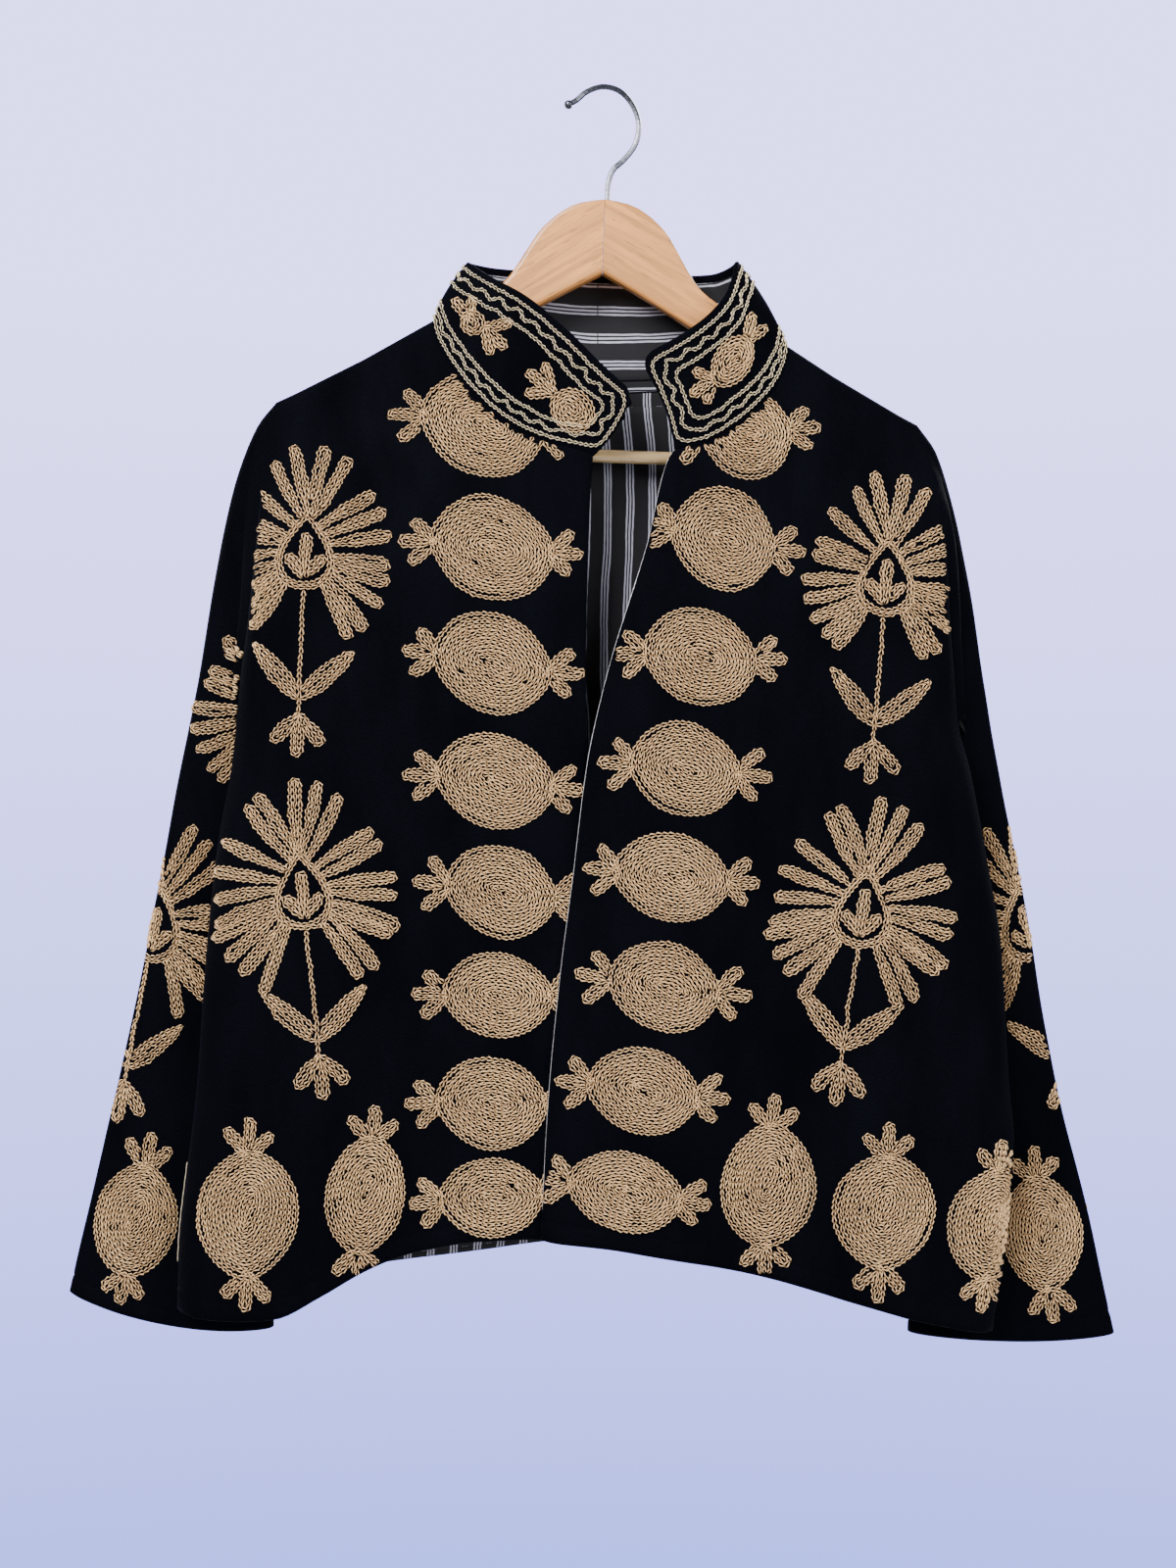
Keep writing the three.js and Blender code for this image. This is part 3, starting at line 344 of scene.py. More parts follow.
def back_point(u, v):
    """A point of the back, by its share from right side to left and from top to hem."""
    side = RIGHT if u <= 0.5 else LEFT

    def top(s):
        return back_top(RIGHT, s) if s <= 0.5 else back_top(LEFT, 1 - s)

    def hem(s):
        x = lerp(RIGHT.side_line[-1]["x"], LEFT.side_line[-1]["x"], s)
        return x, curve(BACK_HEM, "x", "z", x)

    x, z = patch(top, hem, lambda t: side_edge(RIGHT, t), lambda t: side_edge(LEFT, t), u, v)
    on_shoulder = v == 0 and min(u, 1 - u) <= NECK_U
    return Vector((x, SEAM_GAP / 2 if on_shoulder else panel_depth(side, v, x, z, False), z))


def oval_point(side, v, turn):
    """A point of the hanging tube. turn runs from 0 over the front to 1 under the arm and to 2."""
    value = {name: curve(side.sleeve, "v", name, v) for name in side.sleeve[0]}
    angle = math.pi * turn

    def flat(share):
        return math.copysign(abs(share) ** TUBE_POWER, share)

    along = (1 - flat(math.cos(angle))) / 2
    sag = side.cuff_sag * v * v * 4 * along * (1 - along)
    return Vector((
        lerp(value["ax"], value["bx"], along),
        lerp(value["ay"], value["by"], along) - value["half"] * flat(math.sin(angle)),
        lerp(value["az"], value["bz"], along) - sag))


# Grid values of the coarse solids; turn on the armhole follows them row by row
ARCH_DROPS = (0, 0.35, 1.4, 3.8, ARCH_HALF)
ARMHOLE_ROWS = [ARCH_V * drop / ARCH_HALF for drop in ARCH_DROPS]
ARMHOLE_ROWS += [0.05, 0.1, 0.15, NECK_V, 0.27, 0.34, PIT_V]


def armhole_v(turn):
    """The panels' v where the sleeve's seam lies at this turn."""
    steps = len(ARMHOLE_ROWS) - 1
    place = (turn if turn <= 1 else 2 - turn) * steps
    i = min(int(place), steps - 1)
    return lerp(ARMHOLE_ROWS[i], ARMHOLE_ROWS[i + 1], place - i)


def sleeve_point(side, v, turn):
    """A point of a sleeve, which leaves the armhole and eases into a hanging tube."""
    at = armhole_v(turn)
    if turn <= 1:
        edge = front_point(side, 1, at)
    else:
        edge = back_point(0 if side.sign < 0 else 1, at)
    oval = oval_point(side, v, turn)
    moved = edge + oval - oval_point(side, 0, turn)
    return moved.lerp(oval, smooth(v / ARMHOLE_EASE))


def neckline(c):
    """A point of the seam under the collar, with c as in the collar's table."""
    if c < -1:
        return front_point(RIGHT, 0, (-1 - c) * NECK_V)
    if c > 1:
        return front_point(LEFT, 0, (c - 1) * NECK_V)
    point = back_point(lerp(NECK_U, 1 - NECK_U, (c + 1) / 2), 0)
    if abs(c) == 1:
        point.y = 0
    return point


def collar_point(c, t):
    """A point of the collar, by its place along the band and its share up from the seam."""
    top = Vector([curve(COLLAR_TOP, "c", name, c) for name in "xyz"])
    base = neckline(c)
    last = COLLAR_TOP[0] if c < 0 else COLLAR_TOP[-1]
    from_end = clamp(math.dist(top, (last["x"], last["y"], last["z"])) / COLLAR_CORNER)
    cut_down = COLLAR_CORNER * (1 - math.sqrt(1 - (1 - from_end) ** 2))
    top += (base - top).normalized() * cut_down
    base += (top - base).normalized() * SEAM_GAP
    turn = clamp(c, -1, 1) * math.pi / 2
    outwards = Vector((math.sin(turn), 0 if abs(c) > 1 else math.cos(turn), 0))
    near_end = clamp((-COLLAR_END_C - c) / (2 - COLLAR_END_C))
    end = COLLAR_END_BULGE * near_end * math.sin(math.pi * t)
    return base.lerp(top, t) + outwards * COLLAR_BOW * math.sin(math.pi * t) + Vector((end, 0, 0))


def finer(values, step):
    """The values with more between them, no further apart than step."""
    found = []
    for low, high in zip(values, values[1:]):
        count = max(1, math.ceil((high - low) / step - 1e-6))
        found += [lerp(low, high, k / count) for k in range(count)]
    return found + [values[-1]]


FINE_DROPS = (0, 0.02, 0.1, 0.35, 0.8, 1.4, 2.4, 3.8, 6.2, ARCH_HALF)
HEM_TURN = (0.9755, 0.979, 0.9815, 0.984, 0.9875)
ARCH_ROWS = [ARCH_V * drop / ARCH_HALF for drop in FINE_DROPS]
FINE_ROWS = ARCH_ROWS + finer((ARCH_V, 0.05, 0.1, 0.15, NECK_V, 0.34, PIT_V, 0.9755), 0.0085)[1:]
FINE_ROWS += [*HEM_TURN[1:], 0.994, 1]
FRONT_COLUMNS = finer((0, 0.08, 0.85), 0.02) + finer((0.85, 0.95, 0.98, 1), 0.0125)[1:]
BACK_SHARES = finer((0, 0.01, 0.03, 0.06, NECK_U), 0.0105)
BACK_SHARES += [0.2425, 0.245, 0.247, 0.249, 0.251, 0.2535, 0.256, 0.2595]
BACK_HALF = BACK_SHARES + finer((ARCH_END_U, 0.5), 0.0105)
BACK_COLUMNS = BACK_HALF + [1 - u for u in BACK_HALF[-2::-1]]
SLEEVE_ROWS = finer((0, 0.02, 0.05, 0.9755), 0.0125) + [*HEM_TURN[1:], 0.994, 1]
SLEEVE_TURNS = [k / 44 for k in range(88)]
COLLAR_ROWS = [0, 0.03, *[k / 20 for k in range(1, 19)], 0.93, 0.96, 0.98, 1]
COLLAR_TURNING = 3      # rows of velvet turned over to the inside of the band
INSIDE = Vector((0, 0, -500))
INSIDE_NECK = Vector((0, 0, -180))
# Metres of cloth map over a whole piece: across a front, the back and a sleeve, down them, up the collar
FRONT_MAP, BACK_MAP, SLEEVE_MAP, PANEL_MAP, COLLAR_MAP = 0.28, 0.56, 0.36, 0.62, 0.067
# Shares of a piece over which its small waves start, and the deepest wave of a sleeve
FRONT_EASE, BACK_EASE, SLEEVE_EASE_START, SLEEVE_EASE, SLEEVE_WAVE = 0.08, 0.04, 0.02, 0.1, 0.4
CREASE_DEPTH, CREASE_V, CREASE_WIDTH = 0.55, 0.9815, 0.0022
WIDE_WAVE, SMALL_WAVE, SMALL_SHARE, WAVE_STRETCH = 52, 19, 0.3, 0.45
LIP_REACH = 0.3         # how far an edge's lip rounds out, in walls


def normals(grid, closed, inside):
    """Unit normals of a grid, facing away from a point inside."""
    row_count, column_count = len(grid), len(grid[0])
    found = []
    for j, row in enumerate(grid):
        up, down = grid[max(j - 1, 0)], grid[min(j + 1, row_count - 1)]
        line_of = []
        for i in range(column_count):
            before = (i - 1) % column_count if closed else max(i - 1, 0)
            after = (i + 1) % column_count if closed else min(i + 1, column_count - 1)
            line_of.append((row[after] - row[before]).cross(down[i] - up[i]).normalized())
        found.append(line_of)
    j, i = row_count // 2, column_count // 2
    if found[j][i].dot(grid[j][i] - inside) < 0:
        found = [[-normal for normal in row] for row in found]
    return found


def crease(v):
    """Depth of the sewn turning's groove above a hem or a cuff."""
    return -CREASE_DEPTH * math.exp(-((v - CREASE_V) / CREASE_WIDTH) ** 2)


def ruffle(point, settings, seed):
    """Small waves of soft cloth, in millimetres."""
    place = Vector((point.x, point.y, point.z * WAVE_STRETCH))
    wide = noise.noise(place / WIDE_WAVE + Vector((seed, 0, 0)))
    small = noise.noise(place / SMALL_WAVE + Vector((0, seed, 0)))
    return settings.ripple / MM * (wide + SMALL_SHARE * small)


def add_waves(grid, facing, rows, columns, free, settings, seed, highest=math.inf):
    """Adds small waves and the turning's groove to a grid. free(u, v) is the waves' share at a point."""
    for j, v in enumerate(rows):
        for i, u in enumerate(columns):
            height = free(u, v) * ruffle(grid[j][i], settings, seed)
            grid[j][i] += facing[j][i] * (min(height, highest) + crease(v))


def offset(grid, normal_grid, distance):
    """The grid moved inwards along its normals."""
    return [[point - normal * distance for point, normal in zip(*rows)] for rows in zip(grid, normal_grid)]


# What one operator makes and a later one needs: grids of the cloth faces and materials
made = {}


def turned_outwards(mesh):
    """The closed mesh, shaded smooth, with its faces turned to the outside."""
    shell = bmesh.new()
    shell.from_mesh(mesh)
    if shell.calc_volume(signed=True) < 0:
        bmesh.ops.reverse_faces(shell, faces=shell.faces)
    shell.to_mesh(mesh)
    shell.free()
    mesh.shade_smooth()
    return mesh


def wall_mesh(name, outer, inner, closed, uv, turned_over=0):
    """One closed wall between two grids, with a rounded lip on its free edges and a UV map. The face
    cloth is turned over the last rows of the inside."""
    row_count, column_count = len(outer), len(outer[0])
    points = [p for grid in (outer, inner) for row in grid for p in row]
    faces, uvs, slots = [], [], []

    def index(layer, j, i):
        return layer * row_count * column_count + j * column_count + i % column_count

    def face(corners, places, slot):
        faces.append(corners)
        uvs.append([uv(j, i) for j, i in places])
        slots.append(slot)

    steps = column_count if closed else column_count - 1
    for j in range(row_count - 1):
        for i in range(steps):
            places = [(j, i), (j + 1, i), (j + 1, i + 1), (j, i + 1)]
            face([index(0, *place) for place in places], places, 0)
            lined = 1 if j < row_count - 1 - turned_over else 0
            face([index(1, *place) for place in places[::-1]], places[::-1], lined)
    last_row, last_column = row_count - 1, column_count - 1
    if closed:
        loops = [[(0, i) for i in range(steps, -1, -1)], [(last_row, i) for i in range(steps + 1)]]
    else:
        loops = [[(0, i) for i in range(last_column, 0, -1)] + [(j, 0) for j in range(last_row)]
                 + [(last_row, i) for i in range(last_column)]
                 + [(j, last_column) for j in range(last_row, -1, -1)]]
    for loop in loops:
        lips = {}
        for j, i in loop:
            key = index(0, j, i)
            if key in lips:
                continue
            near_j = 1 if j == 0 else (last_row - 1 if j == last_row else j)
            near_i = i if closed else (1 if i == 0 else (last_column - 1 if i == last_column else i))
            near = outer[near_j][near_i % column_count]
            here = outer[j][i % column_count]
            middle = (here + inner[j][i % column_count]) / 2
            wall = (here - inner[j][i % column_count]).length
            lips[key] = len(points)
            points.append(middle + (here - near).normalized() * wall * LIP_REACH)
        for (j, i), (next_j, next_i) in zip(loop, loop[1:]):
            a, b = index(0, j, i), index(0, next_j, next_i)
            places = [(j, i), (next_j, next_i), (next_j, next_i), (j, i)]
            face([b, a, lips[a], lips[b]], places, 0)
            face([lips[b], lips[a], index(1, j, i), index(1, next_j, next_i)], places, 0)
    mesh = bpy.data.meshes.new(name)
    mesh.from_pydata([p * MM for p in points], [], faces)
    layer = mesh.uv_layers.new(name="cloth")
    layer.data.foreach_set("uv", [value for corners in uvs for place in corners for value in place])
    mesh.polygons.foreach_set("material_index", slots)
    return turned_outwards(mesh)


def place_piece(name, mesh, materials, nodes=()):
    """Puts a piece into the scene with its materials, on the only body."""
    piece = bpy.data.objects.new(name, mesh)
    bpy.context.scene.collection.objects.link(piece)
    for material in materials:
        mesh.materials.append(material)
    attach(piece, "root")
    if nodes:
        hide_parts(*nodes)
    return piece


def cloth_piece(name, outer, inner, uv, closed=False, turned_over=0, face="velvet"):
    """The wall of cloth that stands for the solid of this name, with striped cotton on its inside."""
    mesh = wall_mesh(name + "_cloth", outer, inner, closed, uv, turned_over)
    place_piece(name + "_cloth", mesh, [made[face], made["lining"]], [name])


def node(tree, kind, inputs=None, **options):
    """A new node with its options, and its inputs linked or set."""
    found = tree.nodes.new(kind)
    for name, value in options.items():
        setattr(found, name, value)
    for name, value in (inputs or {}).items():
        if isinstance(value, bpy.types.NodeSocket):
            tree.links.new(value, found.inputs[name])
        else:
            found.inputs[name].default_value = value
    return found


def calculate(tree, operation, *values, clamped=False):
    return node(tree, "ShaderNodeMath", dict(enumerate(values)), operation=operation,
                use_clamp=clamped).outputs[0]


def ramp(tree, value, low, high, to_low=0.0, to_high=1.0):
    return node(tree, "ShaderNodeMapRange", {
        "Value": value, "From Min": low, "From Max": high, "To Min": to_low, "To Max": to_high},
    ).outputs["Result"]


def blend(tree, share, first, second, blend_type="MIX"):
    mixed = node(tree, "ShaderNodeMix", data_type="RGBA", blend_type=blend_type)
    for socket, value in ((mixed.inputs[0], share), (mixed.inputs[6], first), (mixed.inputs[7], second)):
        if isinstance(value, bpy.types.NodeSocket):
            tree.links.new(value, socket)
        else:
            socket.default_value = value
    return mixed.outputs[2]


def colour(values):
    return (*values, 1.0)


def shader_group(name, inputs, outputs):
    tree = bpy.data.node_groups.new(name, "ShaderNodeTree")
    for label, kind in inputs:
        tree.interface.new_socket(label, in_out="INPUT", socket_type=kind)
    for label, kind in outputs:
        tree.interface.new_socket(label, in_out="OUTPUT", socket_type=kind)
    return tree, tree.nodes.new("NodeGroupInput").outputs, tree.nodes.new("NodeGroupOutput").inputs


def mottle_group():
    """Cloudy patches between two limits, for worn, dyed or brushed surfaces."""
    tree, given, result = shader_group(
        "mottle", [("Vector", "NodeSocketVector"), ("Scale", "NodeSocketFloat"),
                   ("Low", "NodeSocketFloat"), ("High", "NodeSocketFloat")],
        [("Mask", "NodeSocketFloat")])
    cloud = node(tree, "ShaderNodeTexNoise", {"Vector": given["Vector"], "Scale": given["Scale"],
                                              "Detail": 3.0, "Roughness": 0.55})
    tree.links.new(ramp(tree, cloud.outputs[0], given["Low"], given["High"]), result["Mask"])
    return tree


def mottle(tree, vector, scale, low=0.35, high=0.65):
    group = node(tree, "ShaderNodeGroup", node_tree=made["mottle"])
    for name, value in (("Scale", scale), ("Low", low), ("High", high)):
        group.inputs[name].default_value = value
    tree.links.new(vector, group.inputs["Vector"])
    return group.outputs["Mask"]


def new_material(name, **values):
    material = bpy.data.materials.new(name)
    material.use_nodes = True
    tree = material.node_tree
    shader = tree.nodes["Principled BSDF"]
    for label, value in values.items():
        shader.inputs[label.replace("_", " ")].default_value = value
    return material, tree, shader


def bump(tree, shader, height, distance, strength=1.0):
    found = node(tree, "ShaderNodeBump", {"Height": height, "Distance": distance, "Strength": strength})
    tree.links.new(found.outputs["Normal"], shader.inputs["Normal"])


def object_coordinates(tree):
    return node(tree, "ShaderNodeTexCoord").outputs["Object"]


def stretched(tree, vector, scale, turn=0.0):
    found = node(tree, "ShaderNodeMapping", {"Vector": vector, "Scale": scale, "Rotation": (0, turn, 0)})
    return found.outputs[0]


def mottled_material(name, tint, dim, scale, roughness):
    """A plain finish with soft patches that are dimmer by this share."""
    material, tree, shader = new_material(name, Roughness=roughness)
    patches = mottle(tree, object_coordinates(tree), scale)
    tree.links.new(blend(tree, patches, colour(tint), colour([dim * value for value in tint])),
                   shader.inputs["Base Color"])
    return material


def velvet_material(settings):
    """Short dark pile, brushed in soft patches, with a faint sheen."""
    material, tree, shader = new_material(
        "velvet", Roughness=0.82, Specular_IOR_Level=0.025, Sheen_Weight=0.016, Sheen_Roughness=0.3,
        Sheen_Tint=(0.45, 0.55, 1, 1))
    place = object_coordinates(tree)
    nap = mottle(tree, place, 620)
    brushed = mottle(tree, stretched(tree, place, (1, 1, 0.4)), 26, 0.3, 0.75)
    deep = colour(settings.velvet_colour)
    pale = colour([2.5 * value + 0.0004 for value in settings.velvet_colour])
    share = calculate(tree, "MULTIPLY_ADD", nap, 0.35, calculate(tree, "MULTIPLY", brushed, 0.55))
    tree.links.new(blend(tree, share, deep, pale), shader.inputs["Base Color"])
    tree.links.new(ramp(tree, brushed, 0, 1, 0.9, 0.7), shader.inputs["Roughness"])
    bump(tree, shader, nap, 0.0004, 0.6)
    return material


def lining_material(settings):
    """Striped cotton. U of the cloth map runs across the stripes, in metres."""
    material, tree, shader = new_material("striped_lining", Roughness=0.88, Specular_IOR_Level=0.25)
    place = node(tree, "ShaderNodeUVMap", uv_map="cloth").outputs["UV"]
    split = node(tree, "ShaderNodeSeparateXYZ", {"Vector": place}).outputs
    waver = mottle(tree, stretched(tree, place, (1, 0.4, 1)), 60)
    across = calculate(tree, "MULTIPLY_ADD", waver, 0.0007, split["X"])
    in_group = calculate(tree, "PINGPONG", across, settings.stripe_spacing / 2)
    to_line = calculate(tree, "ABSOLUTE", calculate(tree, "SUBTRACT", in_group, settings.stripe_pitch))
    nearest = calculate(tree, "MINIMUM", in_group, to_line)
    stripe = ramp(tree, nearest, settings.stripe_width * 0.38, settings.stripe_width * 0.62, 1, 0)
    worn = ramp(tree, mottle(tree, stretched(tree, place, (4, 0.8, 1)), 260), 0, 1, 0.72, 1)
    ground = blend(tree, mottle(tree, place, 34), colour(settings.lining_colour),
                   colour([1.5 * value for value in settings.lining_colour]))
    pattern = blend(tree, calculate(tree, "MULTIPLY", stripe, worn), ground, colour(settings.stripe_colour))
    threads = [node(tree, "ShaderNodeTexWave", {"Vector": place, "Scale": 480.0, "Distortion": 1.5,
                                               "Detail": 1.0}, bands_direction=axis).outputs["Fac"]
               for axis in "XY"]
    weave = calculate(tree, "MULTIPLY", *threads)
    woven = blend(tree, ramp(tree, weave, 0, 1, 0.3, 0), pattern, (0.01, 0.01, 0.012, 1))
    seam = ramp(tree, calculate(tree, "ABSOLUTE", split["Y"]), 0.0003, 0.0007, 0.8, 0)
    tree.links.new(blend(tree, seam, woven, (0.008, 0.008, 0.01, 1)), shader.inputs["Base Color"])
    bump(tree, shader, weave, 0.0003, 0.5)
    return material


def thread_material(name, tint):
    """Cotton thread, with painted shade low between its strands and its full colour on their crests."""
    material, tree, shader = new_material(
        name, Roughness=0.72, Specular_IOR_Level=0.3, Sheen_Weight=0.12, Sheen_Roughness=0.5)
    place = object_coordinates(tree)
    dyed = mottle(tree, place, 14, 0.25, 0.8)
    strand = mottle(tree, place, 520, 0.3, 0.7)
    share = calculate(tree, "MULTIPLY_ADD", dyed, 0.45, calculate(tree, "MULTIPLY", strand, 0.55))
    fibre = blend(tree, share, colour([0.72 * value for value in tint]),
                  colour([min(1.15 * value, 1) for value in tint]))
    # Painted shade: the thread is multiplied darker where the link's crest value is low, near the cloth and
    # between the strands
    crest = node(tree, "ShaderNodeAttribute", attribute_name="crest").outputs["Fac"]
    deep = blend(tree, 1.0, fibre, (0.42, 0.31, 0.2, 1), "MULTIPLY")
    tree.links.new(blend(tree, ramp(tree, crest, 0.0, 0.6), deep, fibre), shader.inputs["Base Color"])
    bump(tree, shader, mottle(tree, place, 2600), 0.00025, 0.7)
    return material


def wood_material(name, tint, slope, roughness, coat):
    """Fine beech: pale, with long soft streaks and short dark flecks along the grain."""
    material, tree, shader = new_material(
        name, Roughness=roughness, Coat_Weight=coat, Coat_Roughness=0.25, Specular_IOR_Level=0.45)
    place = object_coordinates(tree)
    turned = stretched(tree, place, (1, 1, 1), slope)
    streaks = mottle(tree, stretched(tree, turned, (0.05, 1, 1)), 260, 0.38, 0.62)
    broad = mottle(tree, stretched(tree, turned, (0.12, 1, 1)), 60, 0.35, 0.65)
    flecks = mottle(tree, stretched(tree, turned, (0.1, 1, 1)), 700, 0.58, 0.66)
    light, mid, dim, dark = (colour([min(share * value, 1) for value in tint])
                             for share in (1.2, 0.64, 0.7, 0.34))
    grain = blend(tree, calculate(tree, "MULTIPLY", streaks, 0.85), light, mid)
    shaded = blend(tree, calculate(tree, "MULTIPLY", broad, 0.7), grain, dim)
    flecked = blend(tree, calculate(tree, "MULTIPLY", flecks, 0.6), shaded, dark)
    tree.links.new(flecked, shader.inputs["Base Color"])
    bump(tree, shader, streaks, 0.00012, 0.4)
    return material


def steel_material():
    """Dark plated wire, rubbed in patches."""
    material, tree, shader = new_material("hook_steel", Base_Color=(0.08, 0.085, 0.1, 1), Metallic=1.0)
    place = object_coordinates(tree)
    rubbed = mottle(tree, place, 420)
    tree.links.new(ramp(tree, rubbed, 0, 1, 0.2, 0.38), shader.inputs["Roughness"])
    bump(tree, shader, mottle(tree, place, 90), 0.0003, 0.15)
    return material


# Embroidery. A motif is a list of thread rows, each a list of (x, z) points in its own millimetres.
FRUIT_ROW, FINGER_ROW, LEAF_ROW = 2.85, 2.9, 3.7       # from one row to the next
RING_GAP = 1.45         # from a fruit's outline to its next row, in rows
LOBE_LENGTH, LOBE_WIDTH = 25.5, 9.4
DROP_WIDTH, DROP_HEIGHT, DROP_POINT = 25, 26, 1.1
RAY_SPREAD, RAY_CROWDING, TOP_RAY = 150, 0.8, 49       # degrees to each side, crowding below, length
SPRIG_FOOT, SPRIG_SPREAD, SPRIG_WIDTH = (0, -18), 0.72, 8.6
LEAF_ANGLES, LEAF_LENGTH, LEAF_WIDTH, LEAF_BEND = (42, 138), 47, 14.5, 0.05


def axis_points(start, angle, length, bend, count=12):
    along = (math.cos(angle), math.sin(angle))
    return [(start[0] + length * (s * along[0] - bend * s * s * along[1]),
             start[1] + length * (s * along[1] + bend * s * s * along[0]))
            for s in (k / count for k in range(count + 1))]


def beside(points, distances):
    """A line beside another one, at its own distance for each point."""
    found = []
    for k, (point, distance) in enumerate(zip(points, distances)):
        before, after = points[max(k - 1, 0)], points[min(k + 1, len(points) - 1)]
        run = (after[0] - before[0], after[1] - before[1])
        size = math.hypot(*run) or 1
        found.append((point[0] - run[1] / size * distance, point[1] + run[0] / size * distance))
    return found


def finger(start, angle, length, width, waist, bend=0.0):
    """A lobe or a ray with a round end: a row round its edge and one down its middle."""
    half = (width - FINGER_ROW) / 2
    axis = axis_points(start, angle, length - half - FINGER_ROW / 2, bend)
    last = len(axis) - 1
    spread = [half * lerp(waist, 1, smooth(k / last / 0.6)) for k in range(last + 1)]
    tip_angle = math.atan2(axis[-1][1] - axis[-2][1], axis[-1][0] - axis[-2][0])
    tip_x, tip_z = axis[-1]
    cap = [(tip_x + half * math.cos(tip_angle + turn), tip_z + half * math.sin(tip_angle + turn))
           for turn in (1.05, 0.5, 0, -0.5, -1.05)]
    edge = beside(axis, spread) + cap + beside(axis, [-value for value in spread])[::-1]
    return [edge, axis]


def rings(outline, core, row, steps=60):
    """Rows one inside the other from an outline to its core, the outermost a little apart."""
    turns = [2 * math.pi * k / steps for k in range(steps + 1)]
    pairs = [(core(turn), outline(turn)) for turn in turns]
    far = max(math.dist(a, b) for a, b in pairs)
    count = max(1, round((far - row * RING_GAP) / row))
    shares = [(1 - row * RING_GAP / far) * (k - 0.5) / (count - 0.5) for k in range(count, 0, -1)]
    return [[(lerp(a[0], b[0], share), lerp(a[1], b[1], share)) for a, b in pairs]
            for share in [1, *shares]]


def leaf(start, angle, length, width, bend, steps=24):
    """A pointed leaf, filled with rows that run from its base to its tip."""
    axis = axis_points(start, angle, length, bend, steps)
    rows = max(2, round(width / LEAF_ROW))
    found = []
    for k in range(rows):
        share = 2 * k / (rows - 1) - 1
        half = share * (width - LEAF_ROW) / 2
        reach = [half * math.sin(math.pi * min(1, n / steps + 0.02) ** 0.85) ** 0.55
                 for n in range(steps + 1)]
        found.append(beside(axis, reach))
    return [found[0], found[-1], *found[1:-1]]


def tuft(start, angle, length, width, spread):
    """Three lobes side by side from one point."""
    rows = []
    for turn, share in ((-spread, 0.9), (0, 1), (spread, 0.93)):
        rows += finger(start, angle + turn, length * share, width, 0.3, 0.1 * -turn)
    return rows


def body(length, height, skew, row, seed=0):
    """The round of a fruit: an outline a little apart, then rows that close round a short line."""
    half, tall = length / 2, height / 2
    chance = random.Random(seed)
    bumps = [(n, chance.uniform(-0.012, 0.012), chance.uniform(0, 6.3)) for n in (2, 3, 5)]

    def outline(turn):
        swell = 1 + sum(size * math.cos(n * turn + start) for n, size, start in bumps)
        tip = 0.07 * abs(math.cos(turn)) ** 9
        z = tall * math.sin(turn) * swell
        return half * math.cos(turn) * (swell + tip) - skew * z, z

    def core(turn):
        reach = length * 0.1 * math.cos(turn)
        return length * 0.05 + reach, -0.45 * reach + length * 0.012 * math.sin(2 * turn)

    return rings(outline, core, row)


def fruit(length, height, skew, seed):
    """A pomegranate on its side, with a tuft of three lobes at each end."""
    chance = random.Random(seed)
    rows = body(length, height, skew, FRUIT_ROW, seed)
    for end in (-1, 1):
        angle = (math.pi if end < 0 else 0) + chance.uniform(-0.09, 0.09)
        reach = LOBE_LENGTH * chance.uniform(0.93, 1.05)
        rows += tuft((end * length * 0.5, 0), angle, reach, LOBE_WIDTH, chance.uniform(0.8, 0.94))
    return rows


def flower(lean, reach, seed, rays=20, side_ray=41):
    """Rays round a drop with a sprig in it, on a stem with two leaves and a foot of three lobes."""
    chance = random.Random(seed)

    def drop(grow):
        def outline(turn):
            wide = math.sin(turn) * abs(math.sin(turn / 2)) ** DROP_POINT
            return (DROP_WIDTH + grow) * wide, (DROP_HEIGHT + grow) * math.cos(turn)

        return outline

    rows = []
    turns = [2 * math.pi * k / 48 for k in range(49)]
    for grow in (-3.0, 0.0):
        rows.append([drop(grow)(turn) for turn in turns])
    for k in range(rays):
        share = lerp(-1, 1, k / (rays - 1))
        spread = RAY_SPREAD * math.copysign(abs(share) ** RAY_CROWDING, share)
        turn = math.radians(spread + chance.uniform(-2, 2))
        start = drop(0.5)(turn)
        length = lerp(TOP_RAY, side_ray, smooth(abs(turn) / 2.0)) * chance.uniform(0.93, 1.06)
        rows += finger(start, math.pi / 2 - turn, length, chance.uniform(8.8, 9.8), 0.35,
                       chance.uniform(-0.12, 0.12))
    for turn, length, waist in ((0, 31, 0.5), (SPRIG_SPREAD, 20, 0.4), (-SPRIG_SPREAD, 20, 0.4)):
        rows += finger(SPRIG_FOOT, math.pi / 2 + turn, length, SPRIG_WIDTH, waist)
    rows.append([(lean * smooth(s), lerp(-27, -reach - 13, s)) for s in (k / 16 for k in range(17))])
    for angle, bend in zip(LEAF_ANGLES, (LEAF_BEND, -LEAF_BEND)):
        turn = math.radians(angle + chance.uniform(-4, 4))
        rows += leaf((lean, -reach), turn, LEAF_LENGTH, LEAF_WIDTH, bend)
    rows += tuft((lean, -reach - 12), -math.pi / 2, 29, 9.8, 0.8)
    return rows


def step_at(values, at):
    """The step of a rising row of values that this value lies in."""
    return min(max(bisect_right(values, at) - 1, 0), len(values) - 2)


def even_steps(path, pitch, shift=0.0):
    """The path cut into even steps of about one stitch. A ring starts this share of a step along."""
    lengths = [0.0]
    for a, b in zip(path, path[1:]):
        lengths.append(lengths[-1] + math.dist(a, b))
    count = max(1, round(lengths[-1] / pitch))
    shift = shift if math.dist(path[0], path[-1]) < 1e-6 else 0
    points = []
    for k in range(count + 1):
        at = lengths[-1] * ((k + shift) / count % 1 if shift else k / count)
        i = step_at(lengths, at)
        t = (at - lengths[i]) / ((lengths[i + 1] - lengths[i]) or 1)
        points.append((lerp(path[i][0], path[i + 1][0], t), lerp(path[i][1], path[i + 1][1], t)))
    return points


